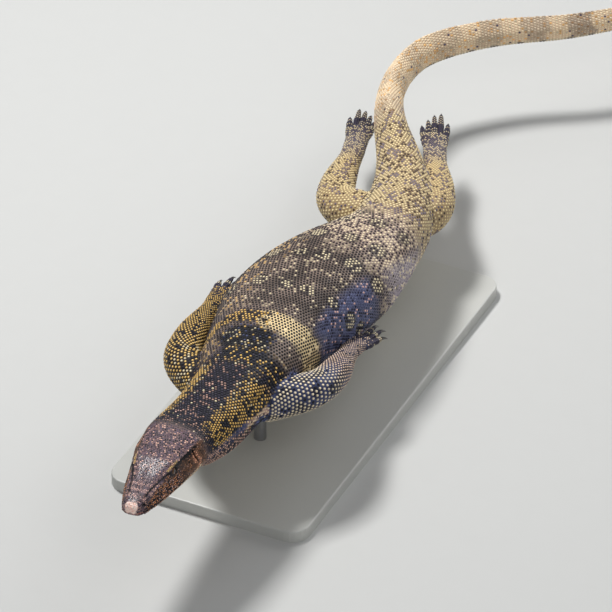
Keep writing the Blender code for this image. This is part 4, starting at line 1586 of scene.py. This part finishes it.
trunk_s = trunk.column("s")
trunk_a = trunk.column("a")
over = np.where(trunk_s > 100, BODY_OVER, HEAD_OVER)
kept, placed, normals = settle(trunk.column("place"), trunk.column("facing"), TRUNK_UNDER, over)
kept &= ~over_eye(placed)
mouth_distance = np.abs(np.abs(trunk_a) - lip_arc(trunk_s))
kept &= ~((trunk_s > MOUTH_START) & (trunk_s < MOUTH_END) & (mouth_distance < MOUTH_GAP))
chance = rng.random(len(kept))
scale_tones, ground_tones = trunk_paint(trunk_s, trunk_a, trunk.column("half"), chance)
wild = np.interp(trunk_s, (90, 200, 300), (0.42, 0.30, 0.20))
shade = np.exp(np.clip(rng.normal(0, wild), -0.9, 0.7))
scale_tones = vary(scale_tones, shade)
coat = []
# name, from and to in mm, sides, fill, height
TRUNK_PIECES = (
    ("coat_head", 0, 101, 8, 0.97, 0.17),
    ("coat_neck", 101, 200, 6, 0.90, 0.24),
    ("coat_shoulder", 200, 290, 6, 0.88, 0.22),
    ("coat_back", 290, 400, 6, 0.90, 0.20),
    ("coat_loin", 400, 530, 6, 0.90, 0.20),
    ("coat_hip", 530, 800, 6, 0.90, 0.22),
    ("coat_tail", 800, 1600, 6, 0.93, 0.22),
)
for name, start, end, sides, fill, height in TRUNK_PIECES:
    own = kept & (trunk_s >= start) & (trunk_s < end)
    columns = chosen(trunk, own, placed, normals)
    s_own = trunk_s[own]
    halves = trunk.column("half")[own]
    unwrap = np.stack(
        [
            spread(s_own, s_own.min(), s_own.max()),
            spread(trunk_a[own], -halves.max(), halves.max()),
        ],
        axis=1,
    )
    piece = dome_piece(
        name, columns, ground_tones[own], scale_tones[own], unwrap, sides, fill, height
    )
    coat.append(piece)
    print(name, own.sum(), "scales,", own.sum() * sides * 2 * len(DOME_RINGS), "triangles")


# %% Scales of the limbs
LIMB_CLEARANCE = 0.62
TOE_CLEARANCE = 0.0015
LIMB_SCALE_SIDES = 6
LIMB_FILL = 0.86
LIMB_HEIGHT = 0.24
trunk_tree = tree_of(placed[kept])
for limb in limbs:
    rows = limb_places[limb.name]
    points = rows.column("place")
    over = np.full(len(points), BODY_OVER)
    own, settled, facing = settle(points, rows.column("facing"), LIMB_UNDER, over)
    spacing = rows.column("across") / 1000
    own &= distances_to(trunk_tree, settled) > LIMB_CLEARANCE * spacing
    strip = rows.column("strip")
    t = rows.column("s")
    hand_points = settled[own & (strip == 0) & (t > 0.9)]
    own &= (strip == 0) | (distances_to(tree_of(hand_points), settled) > TOE_CLEARANCE)
    chance = rng.random(len(points))
    scale_tone, ground_tone = limb_paint(limb.name, t, rows.column("a"), rows.column("half"), chance)
    scale_tone = vary(scale_tone, rng.uniform(0.75, 1.25, len(points)))
    columns = chosen(rows, own, settled, facing)
    # the limb fills the left three quarters of the unwrap, and each toe a strip at its right
    across_map = 0.5 + 0.48 * rows.column("a") / rows.column("half").max()
    u = np.where(strip == 0, 0.01 + 0.70 * t, 0.74 + (strip - 1) * 0.05 + 0.02 * across_map)
    v = np.where(strip == 0, across_map, 0.02 + 0.96 * (t - 1))
    unwrap = np.stack([u, v], axis=1)[own]
    piece = dome_piece(
        "coat_" + limb.name,
        columns,
        ground_tone[own],
        scale_tone[own],
        unwrap,
        LIMB_SCALE_SIDES,
        LIMB_FILL,
        LIMB_HEIGHT,
    )
    coat.append(piece)
    print(piece.name, own.sum(), "scales")

# %% [markdown]
# ## Claws
# Each toe ends in a strong hooked claw of dark horn. A claw is a short tube whose rings get
# smaller and drop along a curve, so it is lofted ring by ring like the toe that carries it.

# %% Claws
CLAW_STEPS = 12
CLAW_SIDES = 14
CLAW_ROOT = 0.97
CLAW_HOOK = 1.8
CLAW_NARROW = 0.75
CLAW_DEEP = 1.15
claw_meshes = []
for limb in limbs:
    for start, direction, across, up, length in limb.toe_roots():
        rings = []
        for share in np.linspace(0, 1, CLAW_STEPS):
            forward = length * CLAW_ROOT + (CLAW_LENGTH + length * 0.03) * share
            centre = start + direction * forward - up * CLAW_DROP * share**CLAW_HOOK
            thick = TOE_RADIUS * (0.50 * (1 - share) ** 0.8 + 0.03)
            angle = angles_round(CLAW_SIDES)
            wide = np.outer(np.sin(angle) * thick * CLAW_NARROW, across)
            deep = np.outer(np.cos(angle) * thick * CLAW_DEEP, up)
            rings.append(centre + wide + deep)
        claw_meshes.append(loft("claw", rings))
bpy.ops.object.select_all(action="DESELECT")
for claw in claw_meshes:
    claw.select_set(True)
bpy.context.view_layer.objects.active = claw_meshes[0]
bpy.ops.object.join()
claws = bpy.context.object
claws.name = "claws"
claws.data.shade_smooth()
claws.select_set(False)
print("claws:", len(claw_meshes))

# %% [markdown]
# ## Eyes
# The eye is a dark brown iris with a round pupil behind a wet, clear front. Each is a smooth
# ball with its pole turned outwards, so that the rings of the ball are the rings of the iris.

# %% Eyeballs
EYE_BROWN = paint(0.24, 0.14, 0.08)
# degrees from the pole: edge of the iris, its bright ring and the edge of the pupil
IRIS_EDGE = 36
IRIS_RING = 17
PUPIL_EDGE = 16
eyeballs = []
for hand, (centre, axes) in zip(("left", "right"), eye_frames):
    outward, back, up = axes
    bpy.ops.mesh.primitive_uv_sphere_add(segments=64, ring_count=48, radius=EYE_RADIUS)
    ball = bpy.context.object
    ball.name = "eyeball_" + hand
    frame_axes = np.array([back, np.cross(outward, back), outward])
    ball.data.transform(Matrix.Translation(Vector(centre)) @ Matrix(frame_axes.T.tolist()).to_4x4())
    in_fixed_order(ball)
    away = points_of(ball.data) - centre
    tilt = np.degrees(np.arccos(np.clip(away @ outward / EYE_RADIUS, -1, 1)))
    turn = np.arctan2(away @ back, away @ up)
    rays = 0.5 + 0.5 * np.sin(turn * 23 + 2 * np.sin(turn * 5))
    tones = np.tile(NIGHT * 0.8, (len(away), 1))
    lay(tones, EYE_BROWN, (tilt < IRIS_EDGE))
    lay(tones, paint(0.50, 0.32, 0.15), (tilt < IRIS_EDGE) * rays * 0.35)
    lay(tones, paint(0.72, 0.52, 0.24), np.clip(1 - np.abs(tilt - IRIS_RING) / 2.5, 0, 1) * 0.7)
    lay(tones, NIGHT * 0.1, np.clip((PUPIL_EDGE - tilt) / 2, 0, 1))
    set_tone(ball.data, tones)
    ball.data.shade_smooth()
    ball.select_set(False)
    eyeballs.append(ball)
print("eyes", round(EYE_RADIUS * 2000, 1), "mm across")

# %% [markdown]
# ## Materials
# The skin is wet: its gloss comes from a thin clear coat over a duller base, broken up by the
# grain of the skin. One group of nodes gives that grain to skin, scales and horn, each with
# its own size, and gives paint and metal on the stand their faint unevenness.


# %% Node groups
def group_with(name, inputs, outputs):
    group = bpy.data.node_groups.new(name, "ShaderNodeTree")
    for label, kind, value in inputs:
        socket = group.interface.new_socket(label, in_out="INPUT", socket_type=kind)
        socket.default_value = value
    for label, kind in outputs:
        group.interface.new_socket(label, in_out="OUTPUT", socket_type=kind)
    start = group.nodes.new("NodeGroupInput")
    end = group.nodes.new("NodeGroupOutput")
    return group, start, end


def build_grain():
    """Varies a colour and a roughness with a fine grain, and bumps the surface with it."""
    group, start, end = group_with(
        "grain",
        (
            ("Color", "NodeSocketColor", (0.5, 0.5, 0.5, 1)),
            ("Size", "NodeSocketFloat", 900.0),
            ("Contrast", "NodeSocketFloat", 0.3),
            ("Smoothest", "NodeSocketFloat", 0.3),
            ("Roughest", "NodeSocketFloat", 0.6),
            ("Relief", "NodeSocketFloat", 0.0002),
        ),
        (("Color", "NodeSocketColor"), ("Roughness", "NodeSocketFloat"), ("Normal", "NodeSocketVector")),
    )
    nodes = group.nodes
    links = group.links
    place = nodes.new("ShaderNodeTexCoord")
    noise = nodes.new("ShaderNodeTexNoise")
    noise.inputs["Detail"].default_value = 4
    links.new(place.outputs["Object"], noise.inputs["Vector"])
    links.new(start.outputs["Size"], noise.inputs["Scale"])
    patches = nodes.new("ShaderNodeTexNoise")
    patches.inputs["Scale"].default_value = 60
    links.new(place.outputs["Object"], patches.inputs["Vector"])
    swing = nodes.new("ShaderNodeMath")
    swing.operation = "SUBTRACT"
    swing.inputs[1].default_value = 0.5
    links.new(noise.outputs["Fac"], swing.inputs[0])
    amount = nodes.new("ShaderNodeMath")
    amount.operation = "MULTIPLY_ADD"
    amount.inputs[2].default_value = 1.0
    links.new(swing.outputs[0], amount.inputs[0])
    links.new(start.outputs["Contrast"], amount.inputs[1])
    shade = nodes.new("ShaderNodeVectorMath")
    shade.operation = "SCALE"
    links.new(start.outputs["Color"], shade.inputs[0])
    links.new(amount.outputs[0], shade.inputs["Scale"])
    links.new(shade.outputs[0], end.inputs["Color"])
    rough = nodes.new("ShaderNodeMapRange")
    rough.inputs["From Min"].default_value = 0.3
    rough.inputs["From Max"].default_value = 0.7
    links.new(patches.outputs["Fac"], rough.inputs["Value"])
    links.new(start.outputs["Smoothest"], rough.inputs["To Min"])
    links.new(start.outputs["Roughest"], rough.inputs["To Max"])
    links.new(rough.outputs["Result"], end.inputs["Roughness"])
    bump = nodes.new("ShaderNodeBump")
    bump.inputs["Strength"].default_value = 0.6
    links.new(start.outputs["Relief"], bump.inputs["Distance"])
    links.new(noise.outputs["Fac"], bump.inputs["Height"])
    links.new(bump.outputs["Normal"], end.inputs["Normal"])
    return group


grain = build_grain()
print("node group:", grain.name)


# %% Finishes
COAT_ROUGHNESS = 0.18
# name, colour, grain size, contrast, smoothest, roughest, relief, clear coat, sheen, metal
FINISHES = (
    ("wet_skin", None, 1400, 0.8, 0.38, 0.62, 0.0003, 0.15, 0.25, 0.0),
    ("wet_scales", None, 1100, 0.5, 0.34, 0.54, 0.00012, 0.22, 0.20, 0.0),
    ("horn", paint(0.16, 0.13, 0.12), 500, 0.8, 0.25, 0.45, 0.0001, 0.3, 0.4, 0.0),
    ("wet_eye", None, 1500, 0.3, 0.05, 0.08, 0.0, 0.6, 0.4, 0.0),
    ("stand_paint", paint(0.74, 0.74, 0.72), 700, 0.05, 0.36, 0.46, 0.00004, 0.0, 0.5, 0.0),
    ("brushed_rod", paint(0.66, 0.66, 0.67), 260, 0.25, 0.24, 0.40, 0.00002, 0.0, 0.5, 1.0),
    ("pale_floor", paint(0.76, 0.76, 0.75), 40, 0.02, 0.7, 0.8, 0.0, 0.0, 0.3, 0.0),
)


def finish_with_grain(
    name, colour, size, contrast, smoothest, roughest, relief, coat_weight, sheen, metal
):
    """A material with the grain. The colour is the tone attribute where none is given."""
    material = bpy.data.materials.new(name)
    material.use_nodes = True
    nodes = material.node_tree.nodes
    links = material.node_tree.links
    shader = nodes["Principled BSDF"]
    shader.inputs["Coat Weight"].default_value = coat_weight
    shader.inputs["Coat Roughness"].default_value = COAT_ROUGHNESS
    shader.inputs["Specular IOR Level"].default_value = sheen
    shader.inputs["Metallic"].default_value = metal
    part = nodes.new("ShaderNodeGroup")
    part.node_tree = grain
    part.inputs["Size"].default_value = size
    part.inputs["Contrast"].default_value = contrast
    part.inputs["Smoothest"].default_value = smoothest
    part.inputs["Roughest"].default_value = roughest
    part.inputs["Relief"].default_value = relief
    if colour is None:
        tone = nodes.new("ShaderNodeAttribute")
        tone.attribute_name = "tone"
        links.new(tone.outputs["Color"], part.inputs["Color"])
    else:
        part.inputs["Color"].default_value = (*colour, 1)
    links.new(part.outputs["Color"], shader.inputs["Base Color"])
    links.new(part.outputs["Roughness"], shader.inputs["Roughness"])
    links.new(part.outputs["Normal"], shader.inputs["Normal"])
    return material


finishes = {row[0]: finish_with_grain(*row) for row in FINISHES}


def give(thing, material):
    thing.data.materials.clear()
    thing.data.materials.append(material)


give(skin, finishes["wet_skin"])
give(claws, finishes["horn"])
for piece in coat:
    give(piece, finishes["wet_scales"])
for ball in eyeballs:
    give(ball, finishes["wet_eye"])
give(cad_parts["stand_base"], finishes["stand_paint"])
for node in ("stand_rod_front", "stand_rod_rear"):
    give(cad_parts[node], finishes["brushed_rod"])
print("finishes made:", len(finishes))

# %% [markdown]
# ## Tying the pieces to the solids
# The skin stands for every solid of flesh, and each eyeball for its plain ball.

# %% Ties
FLESH = ["head", "neck", "torso", "pelvis"] + [f"tail_{k}" for k in range(1, 6)]
for limb in limbs:
    for length in ("upper", "forearm", "hand") if limb.fore else ("upper", "shank", "foot"):
        FLESH.append(f"{limb.name}_{length}")
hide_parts(*FLESH)
for ball, node in zip(eyeballs, ("eye_left", "eye_right")):
    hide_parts(node)
    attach(ball, "root")
for piece in [skin, claws] + coat:
    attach(piece, "root")
print("solids stood for:", len(FLESH) + 2)

# %% [markdown]
# ## Camera, floor and light
# The photograph looks down on the swimming animal from in front, a little to its left, with
# a long lens. The camera stands five metres off at that angle, and soft lamps and a pale
# floor give the plain light of a studio.

# %% Studio
CAMERA_AZIMUTH = 26.0
CAMERA_HEIGHT_ANGLE = 36.0
CAMERA_DISTANCE = 5.0
CAMERA_LENS = 319.7
LOOK_AT = Vector((0.0099, -0.0255, 0.1125))
azimuth = math.radians(CAMERA_AZIMUTH)
elevation = math.radians(CAMERA_HEIGHT_ANGLE)
backwards = Vector(
    (
        math.sin(azimuth) * math.cos(elevation),
        -math.cos(azimuth) * math.cos(elevation),
        math.sin(elevation),
    )
)
bpy.ops.object.camera_add(location=LOOK_AT + backwards * CAMERA_DISTANCE)
camera = bpy.context.object
camera.rotation_euler = backwards.to_track_quat("Z", "Y").to_euler()
camera.data.lens = CAMERA_LENS
camera.data.sensor_width = 36.0
camera.data.clip_end = 50.0
bpy.context.scene.camera = camera

bpy.ops.mesh.primitive_plane_add(size=12.0, location=(0, 0, 0))
floor = bpy.context.object
floor.name = "floor"
give(floor, finishes["pale_floor"])


def soft_lamp(name, place, size, power):
    bpy.ops.object.light_add(type="AREA", location=place)
    lamp = bpy.context.object
    lamp.name = name
    lamp.data.size = size
    lamp.data.energy = power
    lamp.rotation_euler = (Vector(place) - LOOK_AT).to_track_quat("Z", "Y").to_euler()


soft_lamp("key_lamp", (-1.0, 0.4, 2.45), 0.5, 68)
soft_lamp("fill_lamp", (1.6, -1.6, 1.8), 2.0, 18)
soft_lamp("back_lamp", (0.8, 2.2, 1.6), 1.5, 20)
world = bpy.data.worlds.new("studio")
world.use_nodes = True
world.node_tree.nodes["Background"].inputs["Color"].default_value = (0.80, 0.84, 0.90, 1)
world.node_tree.nodes["Background"].inputs["Strength"].default_value = 0.25
bpy.context.scene.world = world
bpy.context.scene.view_settings.view_transform = "Standard"
bpy.ops.object.select_all(action="DESELECT")
print("camera", round(CAMERA_DISTANCE, 1), "m away")

# %% Updating the scene
bpy.context.view_layer.update()
